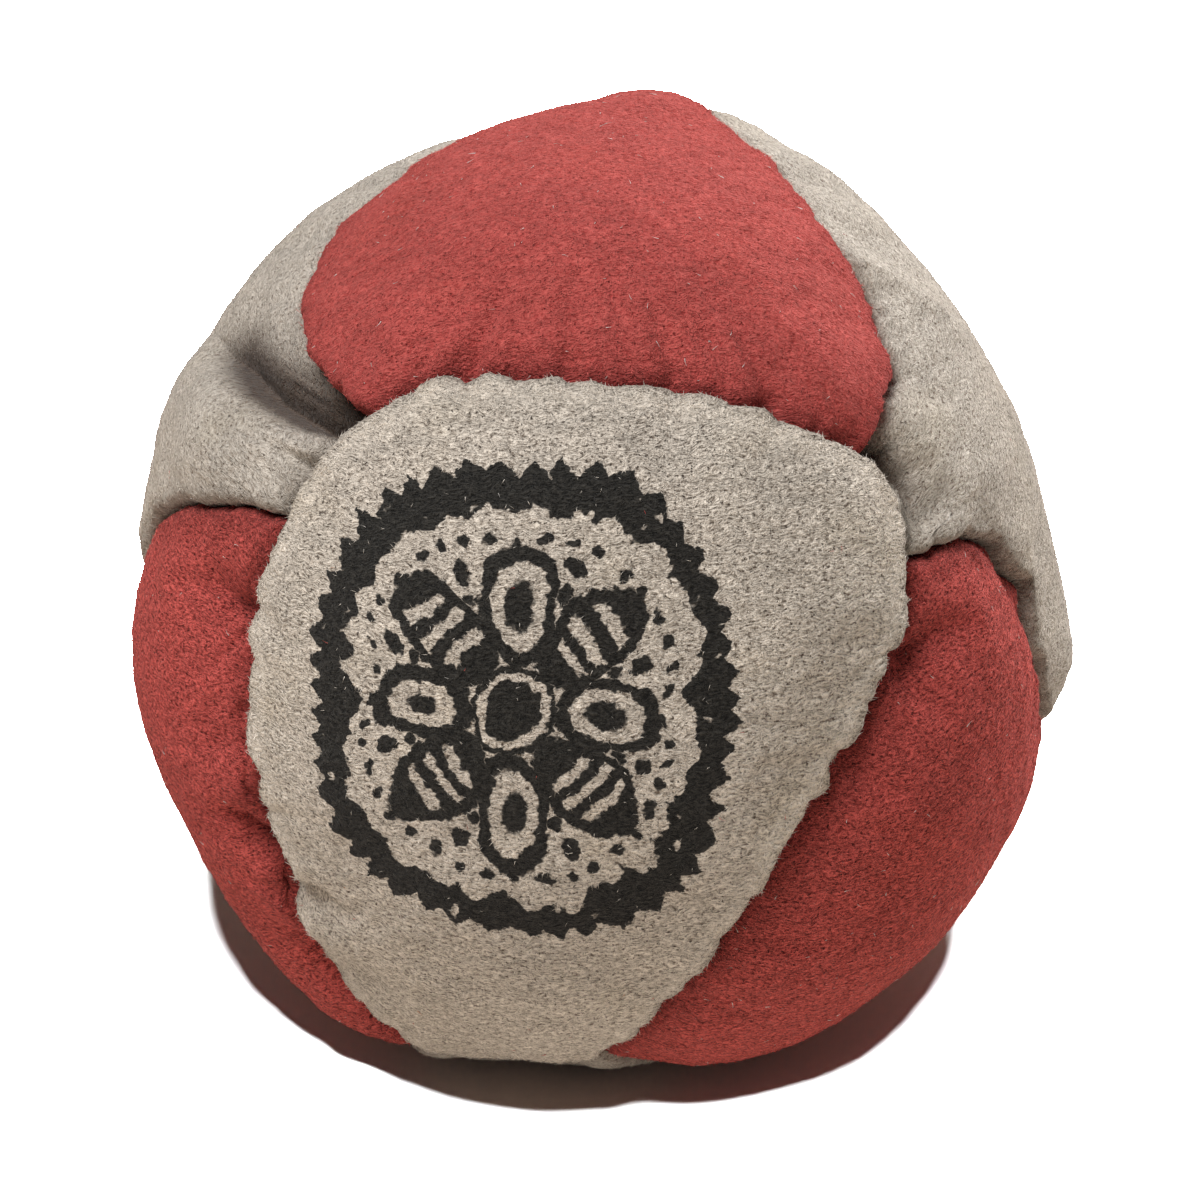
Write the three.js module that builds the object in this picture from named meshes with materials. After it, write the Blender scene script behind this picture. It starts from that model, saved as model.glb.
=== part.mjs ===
// Footbag: eight suede panels, hand-sewn edge to edge into a ball round a loose grain filling.
// Four grey panels have six sides and four red ones have three, so each corner joins three panels.
// Millimetres. +Z is up, -Y is the front, and the origin lies under the face that the ball rests on.
// A direction from the middle of the ball is [azimuth, elevation] in degrees: azimuth 0 is the front,
// 90 the right-hand side, 180 the back, and elevation 90 points straight up.

import * as THREE from "three";

// Ball
const ballRadius = 25; // mean radius, measured over the seams
const crownRise = 0.9; // how far the middle of a panel stands over that radius
const seamValley = 0.8; // how far a panel has sunk where it starts to turn in at a seam
const restSag = 2.4; // how far the filling lets the lowest panel flatten
const lumpRise = 1.6; // height of the largest lump that the loose filling makes
const creaseDepth = 2.4; // depth of the deepest fold in a panel

// Suede
const suedeThickness = 0.8;
const edgeRoll = 1.2; // radius of the turned edge
const seamAllowance = 3; // width of the turned-in edge under the roll
const seamGap = 0.3; // between the two turned-in edges of a seam

// Stitching
const stitchPitch = 2.6; // wanted distance from needle hole to needle hole
const needleHole = 0.75; // side of the square needle hole
const stitchInset = 0.9; // from the roll down to the needle holes
const cornerMargin = 2.5; // from the corner of a panel to the first needle hole
const threadDiameter = 0.45;
const threadClearance = 0.13; // between the thread and the suede
const knotDiameter = 0.8;
const knotLength = 0.5;

// Filling
const fillClearance = 0.35; // under the suede
const grooveClearance = 0.45; // beside the knots and the turned-in edges

// Fineness of the surfaces
const stitchesPerColumn = 2;
const fewestColumns = 2; // along a short seam
const crownShares = [0.34, 0.62, 0.86]; // rings of a panel, from its middle to its turned edge
const rollAngles = [0, 45, 90];
const threadSides = 5;

// Sizes worked out from the ones above
const flangeInner = seamGap / 2 + suedeThickness;
const rollFoot = seamValley + edgeRoll;
const holeTop = rollFoot + stitchInset;
const holeFoot = holeTop + needleHole;
const flangeFoot = rollFoot + seamAllowance;
const threadOffset = flangeInner + threadClearance + threadDiameter / 2;
const knotOffset = flangeInner + threadClearance;
const fillOffset = knotOffset + knotLength + grooveClearance;
const grooveShoulder = rollFoot + suedeThickness + fillClearance;
const grooveFoot = flangeFoot + fillClearance;
const centreHeight = ballRadius + crownRise - restSag;

// Corners, in pairs: each pair is the two ends of a short seam between two grey panels
const cornerAngles = {
  frontLeftTop: [-45, 47],
  frontLeftLow: [-50.5, 31.5],
  frontRightTop: [47.5, 42.5],
  frontRightLow: [45, 28.5],
  underFrontLeft: [-34, -49],
  underFrontRight: [2, -51],
  backTop: [178, 44],
  backLow: [180, 28],
  underLeftFront: [-111, -37],
  underLeftBack: [-129, -36],
  underRightFront: [109, -37],
  underRightBack: [129, -36],
};

// Seams: the corners that each one joins, and the two directions that its curve bends towards
const seams = {
  top_front: { ends: ["frontLeftTop", "frontRightTop"], bendAngles: [[-24, 57], [20, 59]] },
  top_left: { ends: ["frontLeftTop", "backTop"], bendAngles: [[-90, 41], [-152, 56]] },
  top_right: { ends: ["frontRightTop", "backTop"], bendAngles: [[77, 45], [149, 60]] },
  left_side_front: { ends: ["frontLeftLow", "underFrontLeft"], bendAngles: [[-52, 8], [-38, -16]] },
  left_side_top: { ends: ["frontLeftLow", "underLeftFront"], bendAngles: [[-74, 27], [-97, -8]] },
  left_side_under: { ends: ["underFrontLeft", "underLeftFront"], bendAngles: [[-58, -60], [-86, -58]] },
  right_side_front: { ends: ["frontRightLow", "underFrontRight"], bendAngles: [[36, 11], [8, -25]] },
  right_side_top: { ends: ["frontRightLow", "underRightFront"], bendAngles: [[70, 26], [78, -4]] },
  right_side_under: { ends: ["underFrontRight", "underRightFront"], bendAngles: [[35, -66], [80, -62]] },
  back_left: { ends: ["backLow", "underLeftBack"], bendAngles: [[-158, 16], [-135, -10]] },
  back_right: { ends: ["backLow", "underRightBack"], bendAngles: [[158, 16], [135, -10]] },
  back_under: { ends: ["underLeftBack", "underRightBack"], bendAngles: [[-152, -54], [152, -54]] },
  front_left: { ends: ["frontLeftTop", "frontLeftLow"], bendAngles: [[-46, 42], [-48, 36]] },
  front_right: { ends: ["frontRightTop", "frontRightLow"], bendAngles: [[45.5, 38], [44, 33]] },
  front_under: { ends: ["underFrontLeft", "underFrontRight"], bendAngles: [[-22, -52], [-10, -53]] },
  back_middle: { ends: ["backTop", "backLow"], bendAngles: [[179, 39], [180, 33]] },
  under_left: { ends: ["underLeftFront", "underLeftBack"], bendAngles: [[-117, -38], [-123, -38]] },
  under_right: { ends: ["underRightFront", "underRightBack"], bendAngles: [[115, -38], [123, -38]] },
};

// Suede finishes
const greySuede = { color: 0xaa9f94, roughness: 0.95, metalness: 0 };
const redSuede = { color: 0xb04e49, roughness: 0.95, metalness: 0 };
const threadFinish = { color: 0x6b655c, roughness: 0.7, metalness: 0 };
const grainFinish = { color: 0xc9b48c, roughness: 0.9, metalness: 0 };

// Panels: the direction of the middle, and the corners in turn, anticlockwise from outside
const panels = {
  panel_front: {
    middleAngles: [-3, 10],
    finish: greySuede,
    corners: ["frontLeftTop", "frontLeftLow", "underFrontLeft", "underFrontRight",
      "frontRightLow", "frontRightTop"],
  },
  panel_left: {
    middleAngles: [-118, 18],
    finish: greySuede,
    corners: ["frontLeftTop", "backTop", "backLow", "underLeftBack", "underLeftFront",
      "frontLeftLow"],
  },
  panel_right: {
    middleAngles: [116, 18],
    finish: greySuede,
    corners: ["frontRightTop", "frontRightLow", "underRightFront", "underRightBack", "backLow",
      "backTop"],
  },
  panel_under: {
    middleAngles: [0, -90],
    finish: greySuede,
    corners: ["underFrontLeft", "underLeftFront", "underLeftBack", "underRightBack",
      "underRightFront", "underFrontRight"],
  },
  panel_top: {
    middleAngles: [-10, 85],
    finish: redSuede,
    corners: ["frontLeftTop", "frontRightTop", "backTop"],
  },
  panel_side_left: {
    middleAngles: [-67, -16],
    finish: redSuede,
    corners: ["frontLeftLow", "underLeftFront", "underFrontLeft"],
  },
  panel_side_right: {
    middleAngles: [54, -17],
    finish: redSuede,
    corners: ["frontRightLow", "underFrontRight", "underRightFront"],
  },
  panel_back: {
    middleAngles: [180, -18],
    finish: redSuede,
    corners: ["backLow", "underRightBack", "underLeftBack"],
  },
};

// Lumps that the loose filling makes and hollows between them, as shares of the largest lump
const lumps = [
  { angles: [164, 58], reachAngle: 19, riseShare: 1 }, // high back of the top panel
  { angles: [104, 20], reachAngle: 32, riseShare: -0.85 }, // flatter right flank
  { angles: [-120, 45], reachAngle: 28, riseShare: 0.35 }, // shoulder above the left flank
  { angles: [-72, 31], reachAngle: 11, riseShare: 0.6 }, // roll of the left panel over the red one
  { angles: [78, -6], reachAngle: 12, riseShare: 0.55 }, // roll of the right panel over the red one
  { angles: [0, 14], reachAngle: 30, riseShare: -0.4 }, // nearly flat front
  { angles: [56, -10], reachAngle: 15, riseShare: -0.35 }, // dent in the right side
  { angles: [-54, 12], reachAngle: 10, riseShare: -0.4 }, // dent in the left side
];

// Folds, each along the shortest way between two directions, as shares of the deepest one
const creases = [
  { fromAngles: [-92, 39], toAngles: [-48, 45], reachAngle: 6.5, depthShare: 1 },
  { fromAngles: [45, 42], toAngles: [47, 30], reachAngle: 5, depthShare: 0.5 },
  { fromAngles: [62, 30], toAngles: [66, 4], reachAngle: 5, depthShare: 0.3 },
];

// The unit vector of an [azimuth, elevation] direction.
function aim([azimuth, elevation]) {
  const turn = THREE.MathUtils.degToRad(azimuth);
  const lift = THREE.MathUtils.degToRad(elevation);
  return new THREE.Vector3(
    Math.sin(turn) * Math.cos(lift),
    -Math.cos(turn) * Math.cos(lift),
    Math.sin(lift),
  );
}

// The angle in degrees from a direction to the nearest point of an arc between two others.
function angleToArc(direction, from, to) {
  const along = to.clone().sub(from);
  const share = direction.clone().sub(from).dot(along) / along.lengthSq();
  const nearest = from.clone().addScaledVector(along, THREE.MathUtils.clamp(share, 0, 1));
  return THREE.MathUtils.radToDeg(direction.angleTo(nearest));
}

// A bell curve: 1 at the middle and fading over the reach.
function bell(angle, reach) {
  return Math.exp(-((angle / reach) ** 2));
}

// The radius of the ball in a direction, with its lumps and folds but without the panels' crowns.
function ballSurface(direction) {
  let radius = ballRadius;
  for (const lump of lumps) {
    const angle = THREE.MathUtils.radToDeg(direction.angleTo(aim(lump.angles)));
    radius += lumpRise * lump.riseShare * bell(angle, lump.reachAngle);
  }
  for (const crease of creases) {
    const angle = angleToArc(direction, aim(crease.fromAngles), aim(crease.toAngles));
    radius -= creaseDepth * crease.depthShare * bell(angle, crease.reachAngle);
  }
  return radius;
}

// A crowned panel's height over the ball, at a share of the way from its middle to its turned edge.
function crownHeight(share) {
  return crownRise * (1 - share ** 2) - seamValley * share ** 4;
}

// A point at a radius, flattened to the face that the ball rests on; depth is its depth in the wall.
function settle(point, depth) {
  point.z = Math.max(point.z + centreHeight, depth);
  return point;
}

// The unit direction a share of the way along the arc from one direction to another.
function between(from, to, share) {
  const angle = from.angleTo(to);
  const start = Math.sin((1 - share) * angle) / Math.sin(angle);
  const end = Math.sin(share * angle) / Math.sin(angle);
  return from.clone().multiplyScalar(start).addScaledVector(to, end);
}

// The curve of a seam over the ball, with what hangs on its length: columns and needle holes.
function layOutSeam({ ends, bendAngles }) {
  const directions = [aim(cornerAngles[ends[0]]), ...bendAngles.map(aim), aim(cornerAngles[ends[1]])];
  const points = directions.map((direction) => direction.multiplyScalar(ballRadius));
  const curve = new THREE.CubicBezierCurve3(...points);
  const length = curve.getLength();
  const stitched = length - 2 * cornerMargin;
  const holes = Math.max(2, 1 + Math.round(stitched / stitchPitch));
  const columns = Math.max(fewestColumns, Math.round(length / stitchPitch / stitchesPerColumn));
  const columnShares = Array.from({ length: columns + 1 }, (_, i) => i / columns);
  const holeShares = Array.from({ length: holes }, (_, i) => (
    (cornerMargin + (stitched * i) / (holes - 1)) / length
  ));
  const halfHole = needleHole / 2 / length;
  const holeEdges = holeShares.flatMap((share, hole) => (
    [-halfHole, halfHole].map((step) => ({ ...station(curve, share + step), hole }))
  ));
  return {
    ends,
    columns: columnShares.map((share) => station(curve, share)),
    flange: [station(curve, 0), ...holeEdges, station(curve, 1)],
    holes: holeShares.map((share) => station(curve, share)),
  };
}

// A place on a seam: the way out of the ball, and the way across the seam to the left of its run.
function station(curve, share) {
  const out = curve.getPointAt(share).normalize();
  const run = curve.getTangentAt(share);
  run.addScaledVector(out, -run.dot(out)).normalize();
  return { share, out, across: out.clone().cross(run) };
}

// The point beside a seam at an offset across it and a depth under the ball's own surface.
function beside({ out, across }, offset, depth) {
  const point = out.clone().multiplyScalar(ballSurface(out) - depth);
  return settle(point.addScaledVector(across, offset), depth);
}

// The same stations seen from the panel on the other side of the seam, in that panel's order.
function turnedRound(stations) {
  return stations.map((place) => (
    { ...place, share: 1 - place.share, across: place.across.clone().negate() }
  )).reverse();
}

// The outline of a panel as one list of stations; at a corner the two ways across are mitred.
function outline(panel, row) {
  const sides = panel.corners.map((name, i) => {
    const next = panel.corners[(i + 1) % panel.corners.length];
    const seam = laidOut.find(({ ends }) => ends.includes(name) && ends.includes(next));
    return seam.ends[0] === name ? seam[row] : turnedRound(seam[row]);
  });
  return sides.flatMap((side, i) => {
    const before = sides.at(i - 1).at(-1).across;
    const after = side[0].across;
    const across = before.clone().add(after).divideScalar(1 + before.dot(after));
    const stations = [{ ...side[0], across }, ...side.slice(1, -1)];
    return stations.map((place) => ({ ...place, share: i + place.share }));
  });
}

const SAME_SHARE = 1e-6;

// Collects the points and triangles of one closed skin.
class Skin {
  positions = [];
  triangles = [];

  addPoint(point) {
    this.positions.push(point.x, point.y, point.z);
    return this.positions.length / 3 - 1;
  }

  // A closed row of points, each at its station.
  addRow(stations, pointAt) {
    return stations.map((place) => ({ share: place.share, index: this.addPoint(pointAt(place)) }));
  }

  // The cone of triangles from a middle point to a row, or back from a row to a middle point.
  addFan(row, middle, outward) {
    row.forEach(({ index }, i) => {
      const next = row[(i + 1) % row.length].index;
      this.triangles.push(...(outward ? [middle, index, next] : [index, middle, next]));
    });
  }

  // The strip between two closed rows, which may have different numbers of points. Each point of
  // one row is joined to the nearest of the other, and a tie goes to the shorter diagonal.
  addStrip(first, second, sides) {
    const indexOf = (row, i) => row[i % row.length].index;
    const shareOf = (row, i) => (i < row.length ? row[i].share : sides);
    const middleAfter = (row, i) => (
      i < row.length ? (shareOf(row, i) + shareOf(row, i + 1)) / 2 : sides
    );
    let i = 0;
    let j = 0;
    while (i < first.length || j < second.length) {
      const lead = middleAfter(first, i) - middleAfter(second, j);
      const isTie = i < first.length && j < second.length && Math.abs(lead) < SAME_SHARE;
      const onSecond = isTie
        ? this.distance(indexOf(first, i), indexOf(second, j + 1))
          <= this.distance(indexOf(first, i + 1), indexOf(second, j))
        : lead > 0;
      const next = onSecond ? indexOf(second, j + 1) : indexOf(first, i + 1);
      this.triangles.push(indexOf(first, i), indexOf(second, j), next);
      if (onSecond) j += 1;
      else i += 1;
    }
  }

  distance(i, j) {
    const pointAt = (k) => new THREE.Vector3().fromArray(this.positions, 3 * k);
    return pointAt(i).distanceTo(pointAt(j));
  }

  // The stitched strip between two rows of the same stations, left open at each needle hole.
  addStitchedStrip(first, second, isHole) {
    first.forEach((_, i) => {
      if (isHole(i)) return;
      const k = (i + 1) % first.length;
      this.addQuad(first[i].index, second[i].index, second[k].index, first[k].index);
    });
  }

  addQuad(a, b, c, d) {
    this.triangles.push(a, b, c, a, c, d);
  }

  geometry() {
    const geometry = new THREE.BufferGeometry();
    geometry.setAttribute("position", new THREE.Float32BufferAttribute(this.positions, 3));
    geometry.setIndex(this.triangles);
    geometry.computeVertexNormals();
    return geometry;
  }
}

// The point on a crowned panel in a direction, at a share of the way from its middle to its rim.
function crownPoint(direction, share, depth) {
  const radius = ballSurface(direction) + crownHeight(share) - depth;
  return settle(direction.clone().multiplyScalar(radius), depth);
}

// A ring of points round the crown of a panel, at a share of the way out and a depth in the wall.
function crownRow(skin, columns, middle, share, depth) {
  return skin.addRow(columns, (place) => {
    const rim = rimDirection(place, seamGap / 2 + edgeRoll);
    return crownPoint(between(middle, rim, share), share, depth);
  });
}

// The direction of a panel's rim, where its crown meets the turned edge.
function rimDirection({ out, across }, offset) {
  return out.clone().multiplyScalar(ballRadius).addScaledVector(across, offset).normalize();
}

// One panel: crown, rolled edge, turned-in edge with its needle holes, and the inside, all closed.
function panelGeometry(panel) {
  const skin = new Skin();
  const sides = panel.corners.length;
  const middle = aim(panel.middleAngles);
  const columns = outline(panel, "columns");
  const flange = outline(panel, "flange");
  const isHole = (i) => (
    flange[i].hole !== undefined && flange[i].hole === flange[(i + 1) % flange.length].hole
  );

  const edgeRow = (stations, offset, depth) => (
    skin.addRow(stations, (place) => beside(place, offset, depth))
  );
  const rollRows = rollAngles.map(THREE.MathUtils.degToRad).map((angle) => edgeRow(
    columns,
    seamGap / 2 + edgeRoll * (1 - Math.sin(angle)),
    seamValley + edgeRoll * (1 - Math.cos(angle)),
  ));
  const stitchedRows = (offset) => [holeTop, holeFoot].map((depth) => (
    edgeRow(flange, offset, depth)
  ));

  // Outside, from the middle over the roll and down the face that is sewn to the next panel
  const outerCrown = crownShares.map((share) => crownRow(skin, columns, middle, share, 0));
  const sewnFace = stitchedRows(seamGap / 2);
  const rawEdge = [seamGap / 2, flangeInner].map((offset) => edgeRow(columns, offset, flangeFoot));
  // Inside, back up the turned-in edge and over to the middle
  const backFace = stitchedRows(flangeInner);
  const innerRoll = [
    edgeRow(columns, flangeInner, rollFoot),
    edgeRow(columns, seamGap / 2 + edgeRoll, seamValley + suedeThickness),
  ];
  const innerCrown = crownShares.map((share) => (
    crownRow(skin, columns, middle, share, suedeThickness)
  )).reverse();

  const outerRows = [...outerCrown, ...rollRows, sewnFace[0]];
  const lowerRows = [sewnFace[1], ...rawEdge, backFace[1]];
  const innerRows = [backFace[0], ...innerRoll, ...innerCrown];
  for (const rows of [outerRows, lowerRows, innerRows]) {
    rows.slice(1).forEach((row, i) => skin.addStrip(rows[i], row, sides));
  }
  skin.addStitchedStrip(sewnFace[0], sewnFace[1], isHole);
  skin.addStitchedStrip(backFace[1], backFace[0], isHole);
  addNeedleHoles(skin, sewnFace, backFace, isHole);

  skin.addFan(outerCrown[0], skin.addPoint(crownPoint(middle, 0, 0)), true);
  skin.addFan(innerCrown.at(-1), skin.addPoint(crownPoint(middle, 0, suedeThickness)), false);
  return skin.geometry();
}

// The four walls of each needle hole, from the sewn face through to the back face.
function addNeedleHoles(skin, sewnFace, backFace, isHole) {
  sewnFace[0].forEach((_, i) => {
    if (!isHole(i)) return;
    const ring = [[0, i], [1, i], [1, i + 1], [0, i + 1]];
    ring.forEach(([row, k], n) => {
      const [nextRow, nextK] = ring[(n + 1) % ring.length];
      skin.addQuad(
        sewnFace[row][k].index,
        sewnFace[nextRow][nextK].index,
        backFace[nextRow][nextK].index,
        backFace[row][k].index,
      );
    });
  });
}

// The route of a seam's thread: across at each needle hole, and along by turns on either side.
function threadRoute({ holes }) {
  const depth = (holeTop + holeFoot) / 2;
  const at = (place, offset) => ({ point: beside(place, offset, depth), out: place.out });
  const knotEnd = (place, side) => [
    { ...at(place, side * (knotOffset + knotLength)), radius: threadDiameter / 2 },
    { ...at(place, side * (knotOffset + knotLength / 2)), radius: knotDiameter / 2 },
  ];
  const route = [...knotEnd(holes[0], 1)];
  holes.forEach((place, i) => {
    const side = i % 2 ? -1 : 1;
    const firstOffset = i === 0 ? knotOffset : threadOffset;
    const lastOffset = i === holes.length - 1 ? knotOffset : threadOffset;
    route.push({ ...at(place, side * firstOffset), radius: threadDiameter / 2 });
    route.push({ ...at(place, -side * lastOffset), radius: threadDiameter / 2 });
  });
  const lastSide = holes.length % 2 ? -1 : 1;
  return [...route, ...knotEnd(holes.at(-1), lastSide).reverse()];
}

// One thread, knotted at both ends: a tube along its route, mitred where it turns.
function threadGeometry(seam) {
  const skin = new Skin();
  const route = threadRoute(seam);
  const rows = route.map(({ point, out, radius }, i) => {
    const before = point.clone().sub(route[Math.max(i - 1, 0)].point).normalize();
    const after = route[Math.min(i + 1, route.length - 1)].point.clone().sub(point).normalize();
    const run = before.clone().add(after).normalize();
    const wide = out.clone().cross(run).normalize();
    const high = run.clone().cross(wide);
    const stretch = 1 / run.dot(after.lengthSq() ? after : before);
    return Array.from({ length: threadSides }, (_, k) => {
      const turn = (2 * Math.PI * k) / threadSides;
      const corner = point.clone()
        .addScaledVector(wide, -radius * stretch * Math.cos(turn))
        .addScaledVector(high, radius * Math.sin(turn));
      return { share: k, index: skin.addPoint(corner) };
    });
  });
  rows.slice(1).forEach((row, i) => skin.addStrip(rows[i], row, threadSides));
  skin.addFan(rows[0], skin.addPoint(route[0].point), true);
  skin.addFan(rows.at(-1), skin.addPoint(route.at(-1).point), false);
  return skin.geometry();
}

// The filling, as one body that fits inside all eight panels and between their turned-in edges.
function fillGeometry() {
  const skin = new Skin();
  const shared = new Map();
  for (const panel of Object.values(panels)) {
    const sides = panel.corners.length;
    const middle = aim(panel.middleAngles);
    const columns = outline(panel, "columns");
    const depth = suedeThickness + fillClearance;
    const rows = crownShares.map((share) => crownRow(skin, columns, middle, share, depth));
    for (const grooveDepth of [grooveShoulder, grooveFoot]) {
      rows.push(skin.addRow(columns, (place) => beside(place, fillOffset, grooveDepth)));
    }
    rows.push(columns.map((place) => {
      if (!shared.has(place.out)) {
        shared.set(place.out, skin.addPoint(beside(place, 0, grooveFoot)));
      }
      return { share: place.share, index: shared.get(place.out) };
    }));
    rows.slice(1).forEach((row, i) => skin.addStrip(rows[i], row, sides));
    skin.addFan(rows[0], skin.addPoint(crownPoint(middle, 0, depth)), true);
  }
  return skin.geometry();
}

// A named mesh in its finish.
function piece(name, geometry, finish) {
  const mesh = new THREE.Mesh(geometry, new THREE.MeshStandardMaterial(finish));
  mesh.name = name;
  return mesh;
}

const laidOut = Object.values(seams).map(layOutSeam);

const footbag = new THREE.Group();
for (const [name, panel] of Object.entries(panels)) {
  footbag.add(piece(name, panelGeometry(panel), panel.finish));
}
Object.keys(seams).forEach((name, i) => {
  footbag.add(piece(`thread_${name}`, threadGeometry(laidOut[i]), threadFinish));
});
footbag.add(piece("grain_fill", fillGeometry(), grainFinish));

export default footbag;
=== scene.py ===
from collections import namedtuple

import bpy
import numpy as np
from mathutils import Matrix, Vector


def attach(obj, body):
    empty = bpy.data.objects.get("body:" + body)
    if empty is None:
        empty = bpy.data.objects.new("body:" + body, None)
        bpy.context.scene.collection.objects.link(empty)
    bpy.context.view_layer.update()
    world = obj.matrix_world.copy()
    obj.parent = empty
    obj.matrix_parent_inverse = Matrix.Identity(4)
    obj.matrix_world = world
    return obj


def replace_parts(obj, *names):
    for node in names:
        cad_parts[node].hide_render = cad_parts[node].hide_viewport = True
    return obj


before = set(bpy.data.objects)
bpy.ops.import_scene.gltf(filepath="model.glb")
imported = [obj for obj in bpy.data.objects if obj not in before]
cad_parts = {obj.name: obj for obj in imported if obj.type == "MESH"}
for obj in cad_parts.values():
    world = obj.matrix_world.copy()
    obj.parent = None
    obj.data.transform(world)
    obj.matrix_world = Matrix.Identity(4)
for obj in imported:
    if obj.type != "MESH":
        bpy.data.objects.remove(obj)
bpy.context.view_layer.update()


# The ball. Loose grain fills the bag and gives it its shape: round, slumped flat where it rests,
# with lumps, hollows and the folds that the slack suede makes over them.
MM = 0.001  # sizes are in millimetres
BALL_RADIUS = 25.0
CROWN_RISE = 0.9  # how far the middle of a panel stands over the ball
REST_SAG = 2.4
CENTRE_HEIGHT = BALL_RADIUS + CROWN_RISE - REST_SAG
# A direction is an azimuth and an elevation in degrees: azimuth 0 is the front, 90 the right-hand
# side, and elevation 90 points straight up.
LUMPS = [  # azimuth, elevation, reach in degrees, height
    (162, 57, 12, 1.75),  # high back of the top panel
    (-139, 50, 14, 0.45),  # shoulder to the left of it
    (101, 15, 31, -2.2),  # flatter right flank
    (117, 36, 12, -0.75),  # hollow above it
    (-108, 27, 24, -0.65),  # flatter left flank
    (-72, 31, 11, 1.1),  # roll of the left panel over the red one
    (84, -7, 8, 0.8),  # roll of the right panel over the red one
    (84, -15, 6, -0.8),  # nip under it
    (-43, -50, 11, 1.8),  # heel at the lower left
    (-59, -41, 9, 1.05),  # and beside it
    (-40, -23, 4.5, 0.5),  # small bump above it
    (32, -54, 14, 0.6),  # heel at the lower right
    (-74, -23, 19, -0.5),  # waist of the left side
    (0, 14, 30, -0.64),  # nearly flat front
    (56, -10, 15, -0.56),  # dent in the right side
    (-54, 12, 10, -0.64),  # dent in the left side
    (71, -29, 12, -0.65),  # slack at the lower right
    (-86, -4, 14, -0.2),  # and a little at the left
]
FOLDS = {  # by panel: directions along it, the depth at each, its width to the left and the right
    "left": [
        (
            [(-107, 30), (-98, 33), (-90, 36.2), (-76, 39), (-62, 41.6), (-47, 45)],
            [0, 1.6, 3.4, 3.9, 4.5, 5.8], 5.6, 1.4,
        ),
        ([(-110, 56), (-98, 51), (-88, 50)], [0.4, 0.45, 0.1], 2.2, 3.0),
        ([(-60, 31), (-70, 37), (-82, 35)], [0.35, 0.3, 0], 1.5, 2.5),
        ([(-46, 46), (-48, 41), (-50, 36)], [2.6, 2.0, 0.3], 1.4, 1.4),
    ],
    "right": [
        (
            [(48.8, 43.6), (51.9, 40.4), (52.8, 36.8), (52.8, 34), (51, 31.3)],
            [2.2, 2.7, 2.6, 1.7, 0.2], 1.6, 1.6,
        ),
        ([(106, 58), (103, 51), (98, 45)], [0.6, 0.9, 0.5], 5.0, 5.0),
        ([(46.5, 44), (49, 39), (49.3, 35), (48, 30)], [0.6, 0.6, 0.5, 0.2], 4.2, 4.2),
        ([(48, 33), (51.5, 30.5), (55, 31), (59.5, 33.5)], [0.3, 0.9, 0.9, 0], 2.8, 1.4),
        ([(60, 30), (66, 20), (67, 4)], [0.1, 0.4, 0.3], 4.5, 4.5),
        ([(84, 66), (86, 55), (87, 45), (85, 31)], [-0.3, -0.6, -0.6, 0], 2.6, 4.0),
    ],
    "side_left": [
        ([(-50, 16), (-56, 17), (-63, 19)], [2.2, 1.6, 0.1], 2.4, 4.0),
        ([(-44, 4), (-50, 1), (-58, -3)], [0.9, 0.6, 0.1], 2.4, 3.5),
        ([(-44, -15), (-47.5, -13.3), (-51, -11.5), (-56, -9)], [2.4, 2.2, 1.6, 0.1], 2.6, 3.4),
        ([(-43, -36), (-46, -34), (-49, -31), (-53, -28)], [2.2, 2.0, 1.2, 0.1], 2.4, 3.0),
    ],
    "top": [
        ([(40.5, 44.8), (44.5, 42.6)], [0.5, 1.7], 2.6, 2.6),
        ([(-20, 55.5), (-20, 60)], [0.9, 0.1], 2.2, 2.2),
        ([(31, 50), (33, 54)], [0.9, 0.1], 2.2, 2.2),
    ],
    "front": [([(-43, -17.5), (-38, -16), (-33, -15.5)], [1.1, 0.8, 0.1], 1.8, 2.2)],
    "side_right": [
        ([(42, 17), (48, 18), (54, 16)], [1.3, 0.7, 0.1], 2.2, 3.5),
        ([(64, 22), (71, 2), (74, -18)], [0.8, 0.8, 0.3], 3.0, 3.0),
    ],
}
FOLD_SHARPNESS = 1.15  # 2 would round a fold's bottom, and 1 would make it a crease


def aim(angles):
    """Unit vectors (sin a cos e, -cos a cos e, sin e) of azimuths a and elevations e in degrees."""
    azimuth, elevation = np.radians(np.asarray(angles, float)).T
    flat = np.cos(elevation)
    return np.stack([np.sin(azimuth) * flat, -np.cos(azimuth) * flat, np.sin(elevation)], -1)


def unit(vectors):
    """Each vector over its own length."""
    return vectors / np.linalg.norm(vectors, axis=-1, keepdims=True)


def bell(distance, reach):
    """1 at the middle, fading as exp(-(distance / reach)^2)."""
    return np.exp(-((distance / reach) ** 2))


def fold_depth(directions, path, depths, left, right):
    """A fold along a chain of arcs: its depth at the nearest point of the chain times
    exp(-(angle / width)^sharpness), with one width on its left and another on its right."""
    nodes = aim(path)
    nearest = np.full(directions.shape[:-1], np.inf)
    found = np.zeros(directions.shape[:-1])
    for start, end, first, last in zip(nodes, nodes[1:], depths, depths[1:]):
        along = end - start
        share = np.clip((directions - start) @ along / (along @ along), 0, 1)
        off = directions - (start + share[..., None] * along)
        angle = np.degrees(np.linalg.norm(off, axis=-1))
        side = np.where(directions @ np.cross(start, end) > 0, left, right)
        depth = (first + (last - first) * share) * np.exp(-((angle / side) ** FOLD_SHARPNESS))
        found = np.where(angle < nearest, depth, found)
        nearest = np.minimum(angle, nearest)
    return found


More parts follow.
